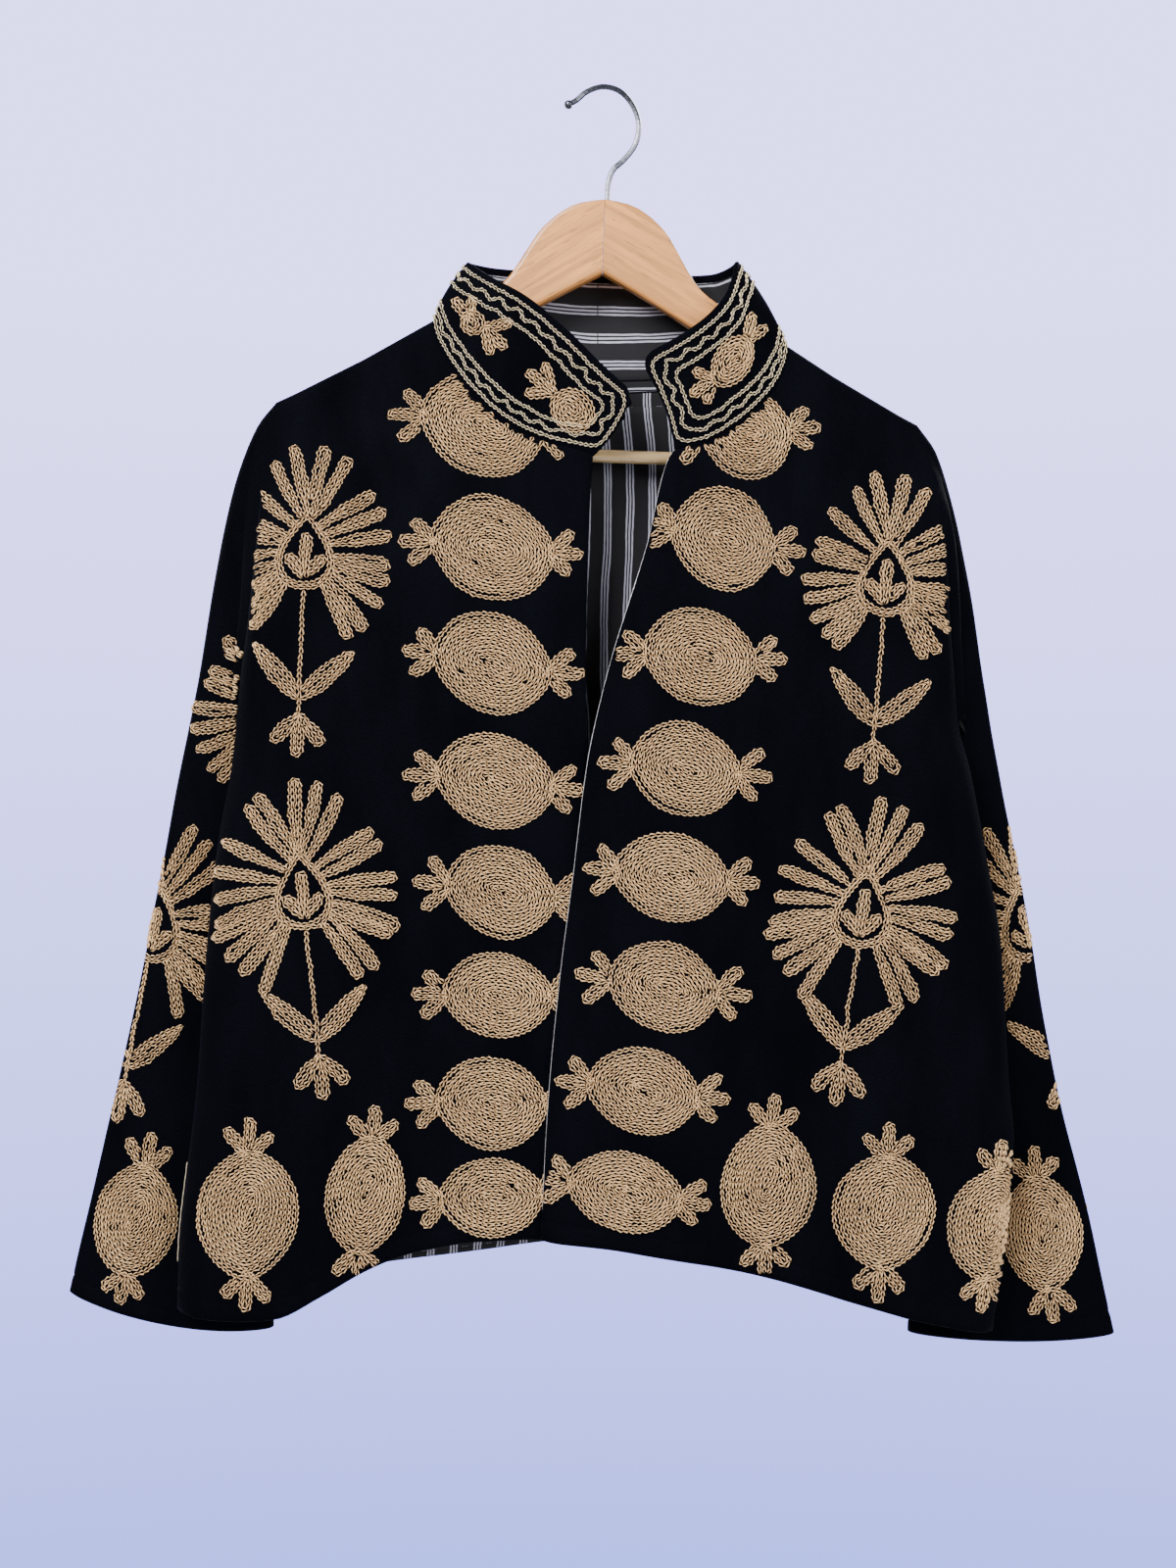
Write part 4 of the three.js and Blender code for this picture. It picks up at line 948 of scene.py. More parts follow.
LOOK_FROM = 200         # how far in front of the cloth a place is looked up from
TURNED_AWAY = 0.34      # cloth that faces the needle less than this takes no stitch
LONGEST_STITCH = 2.5    # in stitch lengths
STITCH_CROWD = 1.7      # no two stitches of a motif lie closer
LOOSENESS = 0.42        # how far a stitch strays from its row


def projector(grid, from_front, closed=False):
    """Finds the cloth's face at an (x, z) place, looking along Y from the front or the back."""
    column_count = len(grid[0])
    points = [p for row in grid for p in row]
    steps = column_count if closed else column_count - 1
    faces = []
    for j in range(len(grid) - 1):
        above, below = j * column_count, (j + 1) * column_count
        for i in range(steps):
            beyond = (i + 1) % column_count
            faces.append([above + i, below + i, below + beyond, above + beyond])
    tree = BVHTree.FromPolygons(points, faces)
    way = Vector((0, 1 if from_front else -1, 0))

    def find(x, z):
        hit, facing, _, _ = tree.ray_cast(Vector((x, 0, z)) - way * LOOK_FROM, way)
        if hit is None or abs(facing.y) < TURNED_AWAY:
            return None
        return hit, (-facing if facing.dot(way) > 0 else facing)

    return find


def band_place(grid, normal_grid, lengths, heights):
    """Finds the collar's face at (s, h): millimetres along its middle and up from the seam."""

    def find(s, h):
        i = step_at(lengths, s)
        t = clamp((s - lengths[i]) / (lengths[i + 1] - lengths[i]))
        share = clamp(h / lerp(heights[i], heights[i + 1], t))
        j = step_at(COLLAR_ROWS, share)
        r = (share - COLLAR_ROWS[j]) / (COLLAR_ROWS[j + 1] - COLLAR_ROWS[j])

        def at(cells):
            low = cells[j][i].lerp(cells[j][i + 1], t)
            return low.lerp(cells[j + 1][i].lerp(cells[j + 1][i + 1], t), r)

        return at(grid), at(normal_grid).normalized()

    return find


class Needlework:
    """Stitches sewn so far on one cloth: each a start, a run and the cloth's facing."""

    def __init__(self, find, settings, crowd=STITCH_CROWD):
        self.find = find
        self.pitch = settings.stitch_length / MM
        self.crowd = crowd
        self.stitches = []
        self.taken = {}
        self.chance = random.Random(settings.seed)

    def is_free(self, place):
        """Whether no stitch lies closer than the crowding distance."""
        column, row = (int(value // self.crowd) for value in place)
        return not any(math.dist(place, other) < self.crowd
                       for p in (-1, 0, 1) for q in (-1, 0, 1)
                       for other in self.taken.get((column + p, row + q), ()))

    def sew(self, rows, centre=(0, 0), turn=0.0):
        """Sews a motif's rows at its place on the cloth, as far as there is cloth."""
        cos, sin = math.cos(turn), math.sin(turn)
        for k, row in enumerate(rows):
            loose = LOOSENESS if k else LOOSENESS / 2
            path = [(centre[0] + x * cos - z * sin, centre[1] + x * sin + z * cos) for x, z in row]
            points = [(x + self.chance.gauss(0, loose), z + self.chance.gauss(0, loose))
                      for x, z in even_steps(path, self.pitch, self.chance.random())]
            for a, b in zip(points, points[1:]):
                middle = ((a[0] + b[0]) / 2, (a[1] + b[1]) / 2)
                if not self.is_free(middle):
                    continue
                start, end = self.find(*a), self.find(*b)
                if start is None or end is None:
                    continue
                if (end[0] - start[0]).length > LONGEST_STITCH * self.pitch:
                    continue
                cell = tuple(int(value // self.crowd) for value in middle)
                self.taken.setdefault(cell, []).append(middle)
                self.stitches.append((start[0], end[0] - start[0], (start[1] + end[1]).normalized()))


def stitch_tree():
    """Geometry nodes that set a looped stitch on each point, along the row and flat on the cloth."""
    tree = bpy.data.node_groups.new("chain_stitches", "GeometryNodeTree")
    for label, kind in (("Geometry", "NodeSocketGeometry"), ("Link", "NodeSocketObject"),
                        ("Thread", "NodeSocketMaterial"), ("Width", "NodeSocketFloat"),
                        ("Height", "NodeSocketFloat"), ("Variation", "NodeSocketFloat"),
                        ("Seed", "NodeSocketInt")):
        tree.interface.new_socket(label, in_out="INPUT", socket_type=kind)
    tree.interface.new_socket("Geometry", in_out="OUTPUT", socket_type="NodeSocketGeometry")
    given = tree.nodes.new("NodeGroupInput").outputs

    def stored(name, kind):
        found = node(tree, "GeometryNodeInputNamedAttribute", {"Name": name}, data_type=kind)
        return found.outputs["Attribute"]

    link = node(tree, "GeometryNodeObjectInfo", {"Object": given["Link"]})
    turn = node(tree, "FunctionNodeAxesToRotation", {
        "Primary Axis": stored("facing", "FLOAT_VECTOR"), "Secondary Axis": stored("along", "FLOAT_VECTOR")},
        primary_axis="Z", secondary_axis="X")
    chance = node(tree, "FunctionNodeRandomValue", {"Seed": given["Seed"]}, data_type="FLOAT")
    low = node(tree, "ShaderNodeMath", {0: 1.0, 1: given["Variation"]}, operation="SUBTRACT")
    high = node(tree, "ShaderNodeMath", {0: 1.0, 1: given["Variation"]}, operation="ADD")
    tree.links.new(low.outputs[0], chance.inputs[2])
    tree.links.new(high.outputs[0], chance.inputs[3])
    size = node(tree, "ShaderNodeCombineXYZ", {
        "X": stored("pitch", "FLOAT"),
        "Y": calculate(tree, "MULTIPLY", given["Width"], chance.outputs[1]),
        "Z": calculate(tree, "MULTIPLY", given["Height"], chance.outputs[1])})
    copies = node(tree, "GeometryNodeInstanceOnPoints", {
        "Points": given["Geometry"], "Instance": link.outputs["Geometry"],
        "Rotation": turn.outputs["Rotation"], "Scale": size.outputs["Vector"]})
    real = node(tree, "GeometryNodeRealizeInstances", {"Geometry": copies.outputs["Instances"]})
    dressed = node(tree, "GeometryNodeSetMaterial", {"Geometry": real.outputs["Geometry"],
                                                     "Material": given["Thread"]})
    tree.links.new(dressed.outputs["Geometry"], tree.nodes.new("NodeGroupOutput").inputs["Geometry"])
    return tree


# Sections of one strand of a stitch: its place along and across, half its thickness and its crest
STRAND = table("x y half top", (0.28, 0.17, 0.11, 0.72), (0.8, 0.34, 0.14, 1.0))


def link_mesh():
    """One chain stitch of unit size: two strands that part round an eyelet and meet again. Its
    crest value runs from 0 on the cloth to 1 on top of the thread; the thread's material paints shade where
    it is low."""
    points, faces = [], []
    for hand in (1, -1):
        first = len(points)
        points.append((-0.1, 0.06 * hand, 0.12))
        for ring in STRAND:
            points += [(ring["x"], (ring["y"] - ring["half"]) * hand, -0.1),
                       (ring["x"], (ring["y"] + ring["half"]) * hand, -0.1),
                       (ring["x"], ring["y"] * hand, ring["top"])]
        points.append((1.22, 0.05 * hand, 0.3))
        strand = [(0, 1, 3), (0, 3, 2), (0, 2, 1), (7, 6, 4), (7, 5, 6), (7, 4, 5)]
        for k in range(3):
            a, b = 1 + k, 1 + (k + 1) % 3
            strand += [(a, a + 3, b + 3), (a, b + 3, b)]
        faces += [[first + corner for corner in (face if hand > 0 else face[::-1])] for face in strand]
    mesh = bpy.data.meshes.new("stitch_link")
    mesh.from_pydata(points, [], faces)
    # The crest value sets the thread's painted shade: darker where it is low
    crest = mesh.attributes.new("crest", "FLOAT", "POINT")
    crest.data.foreach_set("value", [clamp(point[2]) for point in points])
    shell = bmesh.new()
    shell.from_mesh(mesh)
    bmesh.ops.recalc_face_normals(shell, faces=shell.faces)
    shell.to_mesh(mesh)
    shell.free()
    mesh.shade_smooth()
    return mesh


def stitch_piece(cloth, label, stitches, material, settings, width=1.0):
    """Turns a list of stitches into one mesh of thread on its cloth."""
    name = f"{cloth}_{label}"
    points = bpy.data.meshes.new(name + "_points")
    points.from_pydata([(start + facing * 0.25) * MM for start, _, facing in stitches], [], [])
    for attribute, kind, values in (
            ("along", "FLOAT_VECTOR", [value for _, run, _ in stitches for value in run.normalized()]),
            ("facing", "FLOAT_VECTOR", [value for _, _, facing in stitches for value in facing]),
            ("pitch", "FLOAT", [run.length * MM for _, run, _ in stitches])):
        layer = points.attributes.new(attribute, kind, "POINT")
        layer.data.foreach_set("vector" if kind == "FLOAT_VECTOR" else "value", values)
    carrier = bpy.data.objects.new(name + "_points", points)
    bpy.context.scene.collection.objects.link(carrier)
    link = bpy.data.objects.new("stitch_link", made["link"])
    bpy.context.scene.collection.objects.link(link)
    modifier = carrier.modifiers.new("chain", "NODES")
    modifier.node_group = made["stitch_tree"]
    values = {"Link": link, "Thread": material, "Width": settings.stitch_width * width,
              "Height": settings.stitch_height, "Variation": 0.16, "Seed": settings.seed}
    for item in made["stitch_tree"].interface.items_tree:
        if item.name in values:
            modifier[item.identifier] = values[item.name]
    bpy.context.view_layer.update()
    evaluated = carrier.evaluated_get(bpy.context.evaluated_depsgraph_get())
    mesh = bpy.data.meshes.new_from_object(evaluated)
    mesh.name = name
    for spare in (carrier, link):
        bpy.data.objects.remove(spare)
    mesh.materials.clear()
    piece = place_piece(name, mesh, [material])
    made.setdefault("on_" + cloth, []).append(piece)


def length_setting(name, description, default, least):
    """A setting that is a length, in metres."""
    return FloatProperty(name=name, description=description, default=default, min=least, unit="LENGTH")


def colour_setting(name, description, default):
    """A setting for a colour."""
    return FloatVectorProperty(name=name, description=description, subtype="COLOR", default=default,
                               min=0, max=1)


class JacketSettings(bpy.types.PropertyGroup):
    """Sizes and colours of the jacket that its panel shows"""
    ripple: length_setting("Ripple", "Depth of the cloth's small waves", 0.0011, 0)
    stitch_length: length_setting("Stitch length", "Length of one chain stitch", 0.0042, 0.001)
    stitch_width: length_setting("Stitch width", "Width of one chain stitch", 0.0036, 0.0005)
    stitch_height: length_setting("Stitch height", "How far the thread stands off the cloth", 0.0013, 0.0002)
    stripe_spacing: length_setting("Stripe spacing", "From one group of lines to the next", 0.0158, 0.004)
    stripe_pitch: length_setting("Line pitch", "Between two lines of a group", 0.0021, 0.001)
    stripe_width: length_setting("Line width", "Width of one line of the lining", 0.0011, 0.0003)
    velvet_colour: colour_setting("Velvet", "Colour of the velvet's pile", (0.0002, 0.0003, 0.001))
    thread_colour: colour_setting("Thread", "Colour of the motifs' thread", (0.93, 0.58, 0.28))
    cord_colour: colour_setting("Collar thread", "Colour of the lines on the collar", (0.85, 0.72, 0.48))
    lining_colour: colour_setting("Lining", "Ground colour of the striped cotton", (0.005, 0.0047, 0.0062))
    stripe_colour: colour_setting("Stripes", "Colour of the lining's lines", (0.47, 0.46, 0.56))
    wood_colour: colour_setting("Beech", "Colour of the hanger's arms", (0.52, 0.215, 0.052))
    seed: IntProperty(name="Seed", description="Start of the chance in the stitches", default=7)


class JACKET_OT_materials(bpy.types.Operator):
    """Mix the velvet, the lining and the threads"""
    bl_idname = "jacket.materials"
    bl_label = "Materials"

    def execute(self, context):
        settings = context.scene.jacket
        made["mottle"] = mottle_group()
        made["velvet"] = velvet_material(settings)
        made["lining"] = lining_material(settings)
        made["thread"] = thread_material("thread", settings.thread_colour)
        made["cord"] = thread_material("cord_thread", settings.cord_colour)
        return {"FINISHED"}


class JACKET_OT_body(bpy.types.Operator):
    """Cut and shape the two fronts and the back"""
    bl_idname = "jacket.body"
    bl_label = "Fronts and back"

    def execute(self, context):
        settings = context.scene.jacket
        for name, side in (("front_right", RIGHT), ("front_left", LEFT)):
            grid = [[front_point(side, u, v) for u in FRONT_COLUMNS] for v in FINE_ROWS]
            add_waves(grid, normals(grid, False, INSIDE), FINE_ROWS, FRONT_COLUMNS, self.free_on_front,
                      settings, side.sign)
            self.finish(name, grid, lambda j, i: (FRONT_COLUMNS[i] * FRONT_MAP, FINE_ROWS[j] * PANEL_MAP))
        grid = [[back_point(u, v) for u in BACK_COLUMNS] for v in FINE_ROWS]
        add_waves(grid, normals(grid, False, INSIDE), FINE_ROWS, BACK_COLUMNS, self.free_on_back, settings, 5)
        self.finish("back", grid, lambda j, i: (BACK_COLUMNS[i] * BACK_MAP, FINE_ROWS[j] * PANEL_MAP))
        return {"FINISHED"}

    def free_on_front(self, u, v):
        free = smooth(v / FRONT_EASE) * smooth((1 - u) / FRONT_EASE)
        return free * (smooth(u / FRONT_EASE) if v < NECK_V else 1)

    def free_on_back(self, u, v):
        return smooth(v / FRONT_EASE) * smooth(u / BACK_EASE) * smooth((1 - u) / BACK_EASE)

    def finish(self, name, grid, uv):
        inner = offset(grid, normals(grid, False, INSIDE), WALL)
        for i, point in enumerate(grid[0]):
            on_shoulder = name != "back" or min(BACK_COLUMNS[i], 1 - BACK_COLUMNS[i]) <= NECK_U
            if on_shoulder:
                inner[0][i] = point - Vector((0, 0, SHOULDER_WALL))
        made[name] = grid
        cloth_piece(name, grid, inner, uv)


class JACKET_OT_sleeves(bpy.types.Operator):
    """Shape the two sleeves as flat hanging tubes"""
    bl_idname = "jacket.sleeves"
    bl_label = "Sleeves"

    def execute(self, context):
        settings = context.scene.jacket
        for name, side in (("sleeve_right", RIGHT), ("sleeve_left", LEFT)):
            middle = (oval_point(side, 0.45, 0) + oval_point(side, 0.45, 1)) / 2
            grid = [[sleeve_point(side, v, turn) for turn in SLEEVE_TURNS] for v in SLEEVE_ROWS]
            add_waves(grid, normals(grid, True, middle), SLEEVE_ROWS, SLEEVE_TURNS, self.free_on_sleeve,
                      settings, 9 + side.sign, SLEEVE_WAVE)
            made[name] = grid
            cloth_piece(name, grid, offset(grid, normals(grid, True, middle), WALL), self.uv, True)
        return {"FINISHED"}

    def free_on_sleeve(self, turn, v):
        return smooth((v - SLEEVE_EASE_START) / SLEEVE_EASE)

    def uv(self, j, i):
        return i / len(SLEEVE_TURNS) * SLEEVE_MAP, SLEEVE_ROWS[j] * PANEL_MAP


class JACKET_OT_collar(bpy.types.Operator):
    """Stand the collar band on the neckline"""
    bl_idname = "jacket.collar"
    bl_label = "Collar"

    def execute(self, context):
        front = [-1 - v / NECK_V for v in FINE_ROWS if 0 < v < NECK_V * 0.96]
        front += [-1.962, -1.971, -1.979, -1.986, -1.992, -1.997, -2]
        over = [2 * (u - NECK_U) / (1 - 2 * NECK_U) - 1 for u in BACK_COLUMNS if NECK_U < u < 1 - NECK_U]
        stations = front[::-1] + [-1] + over + [1] + [-c for c in front]
        grid = [[collar_point(c, t) for c in stations] for t in COLLAR_ROWS]
        facing = normals(grid, False, INSIDE_NECK)
        middle = grid[len(grid) // 2]
        lengths = [0.0]
        for a, b in zip(middle, middle[1:]):
            lengths.append(lengths[-1] + (b - a).length)
        heights = [sum((grid[j + 1][i] - grid[j][i]).length for j in range(len(grid) - 1))
                   for i in range(len(stations))]
        made.update(collar=grid, collar_facing=facing, collar_lengths=lengths, collar_heights=heights,
                    stations=stations)
        cloth_piece("collar", grid, offset(grid, facing, COLLAR_WALL),
                    lambda j, i: (COLLAR_ROWS[j] * COLLAR_MAP, lengths[i] * MM), turned_over=COLLAR_TURNING)
        return {"FINISHED"}


class JACKET_OT_linings(bpy.types.Operator):
    """Lay the striped lining inside the back and the collar"""
    bl_idname = "jacket.linings"
    bl_label = "Linings"

    def execute(self, context):
        back = made["back"]
        columns = [i for i, u in enumerate(BACK_COLUMNS) if 0.06 <= u <= 0.94]
        columns = columns[:-1:2] + columns[-1:]
        rows = [j for j, v in enumerate(FINE_ROWS) if ARCH_V <= v <= 0.996]
        rows = rows[:-1:2] + rows[-1:]
        facing = normals(back, False, INSIDE)
        face = [[back[j][i] - facing[j][i] * (WALL + LINING_GAP) for i in columns] for j in rows]
        turned = [[facing[j][i] for i in columns] for j in rows]
        cloth_piece("back_lining", face, offset(face, turned, LINING_WALL),
                    lambda j, i: (BACK_COLUMNS[columns[i]] * BACK_MAP, FINE_ROWS[rows[j]] * PANEL_MAP),
                    face="lining")
        stations = [i for i, c in enumerate(made["stations"]) if abs(c) <= 1]
        levels = [j for j, t in enumerate(COLLAR_ROWS) if 0.1 <= t <= 0.93]
        collar, outwards = made["collar"], made["collar_facing"]
        face = [[collar[j][i] - outwards[j][i] * (COLLAR_WALL + LINING_GAP) for i in stations]
                for j in levels]
        turned = [[outwards[j][i] for i in stations] for j in levels]
        lengths = made["collar_lengths"]
        middle = lengths[made["stations"].index(0)]
        cloth_piece("collar_lining", face, offset(face, turned, LINING_WALL),
                    lambda j, i: (COLLAR_ROWS[levels[j]] * COLLAR_MAP, (lengths[stations[i]] - middle) * MM),
                    face="lining")
        return {"FINISHED"}


# Where the motifs stand, in millimetres: x, z, the direction of the right end in degrees, and sizes
FRONT_FRUIT = {
    "front_right": table(
        "x z turn length height skew",
        (-81, -231, -8, 78, 70, 0.15), (-75, -315, -4.5, 76, 68, 0.16), (-75, -392, -9, 74, 65, 0.16),
        (-73, -471, -6, 73, 62, 0.14), (-69, -545, -6, 69, 59, 0.13), (-71, -614, 0, 67, 55, 0.11),
        (-75, -686, 0, 69, 59, 0.1), (-75, -749, 5, 64, 51, 0.08),
        (-238, -760, 90, 79, 67, 0.06), (-160, -749, 83, 73, 50, 0)),
    "front_left": table(
        "x z turn length height skew",
        (95, -237, 4, 57, 62, 0.1), (80, -309, -11, 65, 66, 0.12), (64, -388, -3, 70, 63, 0.14),
        (54, -463, -4, 68, 61, 0.14), (45, -535, -5, 71, 57, 0.12), (40, -608, -7, 69, 57, 0.12),
        (26, -677, -7, 69, 55, 0.1), (14, -744, -9, 71, 51, 0.08),
        (110, -743, 87, 77, 62, 0), (187, -758, 86, 71, 67, 0), (261, -769, 84, 70, 60, 0)),
}
FRONT_FLOWERS = {
    "front_right": table(
        "x z lean reach turn rays side", (-200, -316, 0, 99, -2.5, 20, 41), (-202, -544, 0, 100, 6, 21, 47)),
    "front_left": table(
        "x z lean reach turn rays side", (189, -334, 0, 99, -4.5, 20, 36), (173, -556, 0, 93, -8, 21, 46)),
}
SLEEVE_FRUIT = {
    "sleeve_right": table("x z turn length height", (-324, -775, 79, 73, 56)),
    "sleeve_left": table("x z turn length height", (304, -784, 97, 74, 54)),
}
SLEEVE_FLOWERS = {
    "sleeve_right": table("x z lean reach turn", (-224, -422, 12, 97, -8), (-311, -570, 0, 100, -11)),
    "sleeve_left": table("x z lean reach turn", (293, -569, 0, 98, 15)),
}
BACK_FRUIT = table(
    "x z turn length height skew",
    (-8, -262, 0, 84, 72, 0.14), (-10, -340, 0, 82, 72, 0.14), (-10, -418, 0, 82, 70, 0.14),
    (-12, -496, 0, 82, 72, 0.14), (-12, -574, 0, 82, 70, 0.12), (-12, -652, 0, 80, 70, 0.12),
    (-12, -726, 0, 62, 58, 0.1), (-246, -752, 90, 80, 64, 0), (-172, -736, 90, 80, 60, 0),
    (-98, -724, 90, 78, 54, 0), (78, -726, 90, 78, 54, 0), (148, -744, 90, 80, 58, 0),
    (222, -764, 90, 80, 62, 0))
BACK_FLOWERS = table(
    "x z lean reach",
    (-128, -300, 6, 97), (-138, -530, 10, 100), (110, -306, -6, 97), (116, -536, -8, 100))
SLEEVE_BACK_SHIFT = 1.03        # motifs on a sleeve's hidden side stand a little further out


class JACKET_OT_embroidery(bpy.types.Operator):
    """Sew the chain-stitched fruit and flowers on the body and the sleeves"""
    bl_idname = "jacket.embroidery"
    bl_label = "Embroidery"

    def execute(self, context):
        settings = context.scene.jacket
        made["link"] = link_mesh()
        made["stitch_tree"] = stitch_tree()
        for name in ("front_right", "front_left"):
            work = Needlework(projector(made[name], True), settings)
            self.decorate(work, FRONT_FRUIT[name], FRONT_FLOWERS[name], settings)
            self.finish(name, "stitches", work.stitches, settings)
        for name in ("sleeve_right", "sleeve_left"):
            stitches = []
            for from_front, outwards in ((True, 1), (False, SLEEVE_BACK_SHIFT)):
                work = Needlework(projector(made[name], from_front, True), settings)
                moved = [[{**place, "x": place["x"] * outwards} for place in places]
                         for places in (SLEEVE_FRUIT[name], SLEEVE_FLOWERS[name])]
                self.decorate(work, *moved, settings)
                stitches += work.stitches
            self.finish(name, "stitches", stitches, settings)
        for label, fruits, flowers in (("fruit", BACK_FRUIT, ()), ("flowers", (), BACK_FLOWERS)):
            work = Needlework(projector(made["back"], False), settings)
            self.decorate(work, fruits, flowers, settings)
            self.finish("back", label, work.stitches, settings)
        return {"FINISHED"}

    def decorate(self, work, fruits, flowers, settings):
        for place in fruits:
            rows = fruit(place["length"], place["height"], place.get("skew", 0), round(place["z"]))
            work.sew(rows, (place["x"], place["z"]), math.radians(place["turn"]))
        for k, place in enumerate(flowers):
            rows = flower(place["lean"], place["reach"], settings.seed + k,
                          place.get("rays", 20), place.get("side", 41))
            work.sew(rows, (place["x"], place["z"]), math.radians(place.get("turn", 0)))

    def finish(self, cloth, label, stitches, settings):
        stitch_piece(cloth, label, stitches, made["thread"], settings)


# Small fruit on the collar as seen from the front or the back: x, z, direction and sizes of the
# body, then where its lobes start and the direction and length of each
COLLAR_FRUIT = (
    (True, (-21, -224, 150, 28.5, 25), (((-34, -212), ((140, 24), (107, 22), (180, 20))),)),
    (True, (-88, -163, 140, 16, 14), (((-80, -167), ((-76, 20), (-46, 22), (6, 20))),
                                      ((-90, -160), ((128, 20), (84, 17))))),
    (True, (86, -190, 58, 36, 23), (((95, -176), ((75, 22), (38, 20))),
                                    ((73, -203), ((158, 16), (214, 20), (252, 18))))),
    (False, (-42, -168, 0, 34, 25), (((-60, -168), ((150, 19), (180, 20), (210, 19))),
                                     ((-24, -168), ((30, 19), (0, 20), (-30, 19))))),
    (False, (42, -167, 0, 34, 25), (((24, -167), ((150, 19), (180, 20), (210, 19))),
                                    ((60, -167), ((30, 19), (0, 20), (-30, 19))))),
)


# The collar's lines: how far the two lines and the zigzag between them stand from the band's edge, the
# zigzag's swing and period, and their stitches' length and width as shares of a motif's
LINE_INSETS, ZIGZAG_INSET, ZIGZAG_SWING, ZIGZAG_PERIOD = (4.4, 17), 10.7, 2.2, 15.0
LINE_STITCH_LENGTH, LINE_STITCH_WIDTH, LINE_CROWD = 0.85, 0.8, 1.2


class JACKET_OT_collar_embroidery(bpy.types.Operator):
    """Sew the lines, the zigzag and the small motifs on the collar"""
    bl_idname = "jacket.collar_embroidery"
    bl_label = "Collar embroidery"

    def execute(self, context):
        settings = context.scene.jacket
        lengths, heights = made["collar_lengths"], made["collar_heights"]
        find = band_place(made["collar"], made["collar_facing"], lengths, heights)
        whole = lengths[-1]

        def height_at(s):
            i = step_at(lengths, s)
            return lerp(heights[i], heights[i + 1], (s - lengths[i]) / (lengths[i + 1] - lengths[i]))

        def frame_line(inset, wave=0.0):
            """A closed line round the band at this distance from its edges."""
            low = [(lerp(inset, whole - inset, k / 200), inset) for k in range(201)]
            high = [(s, height_at(s) - inset) for s, _ in low[::-1]]
            right = [(whole - inset, lerp(inset, high[0][1], k / 24)) for k in range(1, 24)]
            left = [(inset, lerp(high[-1][1], inset, k / 24)) for k in range(1, 25)]
            loop = rounded(low + right + high + left, 6)
            if not wave:
                return loop
            run, away = 0.0, []
            for a, b in zip(loop, loop[1:]):
                swing = math.asin(math.sin(2 * math.pi * run / ZIGZAG_PERIOD))
                away.append(wave * (2 / math.pi) * swing)
                run += math.dist(a, b)
            return beside(loop, away + [away[0]])

        def rounded(loop, reach):
            """The loop in steps of a millimetre with its corners rounded off."""
            points = even_steps(loop, 1.0)[:-1]
            count, share = len(points), 1 / (2 * reach + 1)
            found = [tuple(share * sum(points[(k + n) % count][axis] for n in range(-reach, reach + 1))
                           for axis in (0, 1)) for k in range(count)]
            return found + found[:1]

        lines = Needlework(find, settings, LINE_CROWD)
        lines.pitch *= LINE_STITCH_LENGTH
        lines.sew([*map(frame_line, LINE_INSETS), frame_line(ZIGZAG_INSET, ZIGZAG_SWING)])
        stitch_piece("collar", "lines", lines.stitches, made["cord"], settings,
                     LINE_STITCH_WIDTH)
        stitches = []
        for from_front in (True, False):
            work = Needlework(projector(made["collar"], from_front), settings)
            for seen_from_front, (x, z, turn, length, height), tufts in COLLAR_FRUIT:
                if seen_from_front == from_front:
                    work.sew(body(length, height, 0.08, 2.4), (x, z), math.radians(turn))
                    for start, lobes in tufts:
                        for angle, reach in lobes:
                            work.sew(finger(start, math.radians(angle), reach, 8, 0.7))
            stitches += work.stitches
        stitch_piece("collar", "fruit", stitches, made["thread"], settings)
        return {"FINISHED"}


def cord_mesh(name, points, radius, sides=8):
    """A thin round strand along points, in millimetres, closed at both ends."""
    ring_points, faces = [], []
    for k, point in enumerate(points):
        run = (points[min(k + 1, len(points) - 1)] - points[max(k - 1, 0)]).normalized()
        across = run.cross(Vector((0, 1, 0))).normalized()
        up = across.cross(run)
        for n in range(sides):
            turn = 2 * math.pi * n / sides
            ring_points.append((point + (across * math.cos(turn) + up * math.sin(turn)) * radius) * MM)
    for k in range(len(points) - 1):
        for n in range(sides):
            a, b = k * sides + n, k * sides + (n + 1) % sides
            faces.append((a, b, b + sides, a + sides))
    faces.append(tuple(range(sides))[::-1])
    faces.append(tuple(range(len(ring_points) - sides, len(ring_points))))
    mesh = bpy.data.meshes.new(name)
    mesh.from_pydata(ring_points, [], faces)
    return turned_outwards(mesh)


class JACKET_OT_sheets(bpy.types.Operator):
    """An empty step that adds nothing to the scene"""
    bl_idname = "jacket.sheets"
    bl_label = "Cloth sheets"

    def execute(self, context):
        return {"FINISHED"}


class JACKET_OT_trims(bpy.types.Operator):
    """Lay the pale edge of the lining along the left front and thread along the right side seam"""
    bl_idname = "jacket.trims"
    bl_label = "Edge trims"

    def execute(self, context):
        edge = [front_point(LEFT, 0, v) for v in finer((NECK_V, 0.97), 0.01)]
        strand = [point + Vector((-0.35, WALL * 0.75, 0)) for point in edge]
        edge_cloth = mottled_material("lining_edge", (0.8, 0.78, 0.84), 0.55, 300, 0.8)
        piece = place_piece("front_edge_lining", cord_mesh("front_edge_lining", strand, 0.42), [edge_cloth])
        made["on_front_left"].append(piece)
        seam = [front_point(RIGHT, 1, v) + Vector((-0.5, -0.3 + 0.4 * math.sin(420 * v), 0))
                for v in finer((0.86, 0.96), 0.002)]
        piece = place_piece("side_seam_thread", cord_mesh("side_seam_thread", seam, 0.32),
                            [mottled_material("seam_thread", (0.6, 0.5, 0.35), 0.7, 400, 0.8)])
        made["on_front_right"].append(piece)
        return {"FINISHED"}


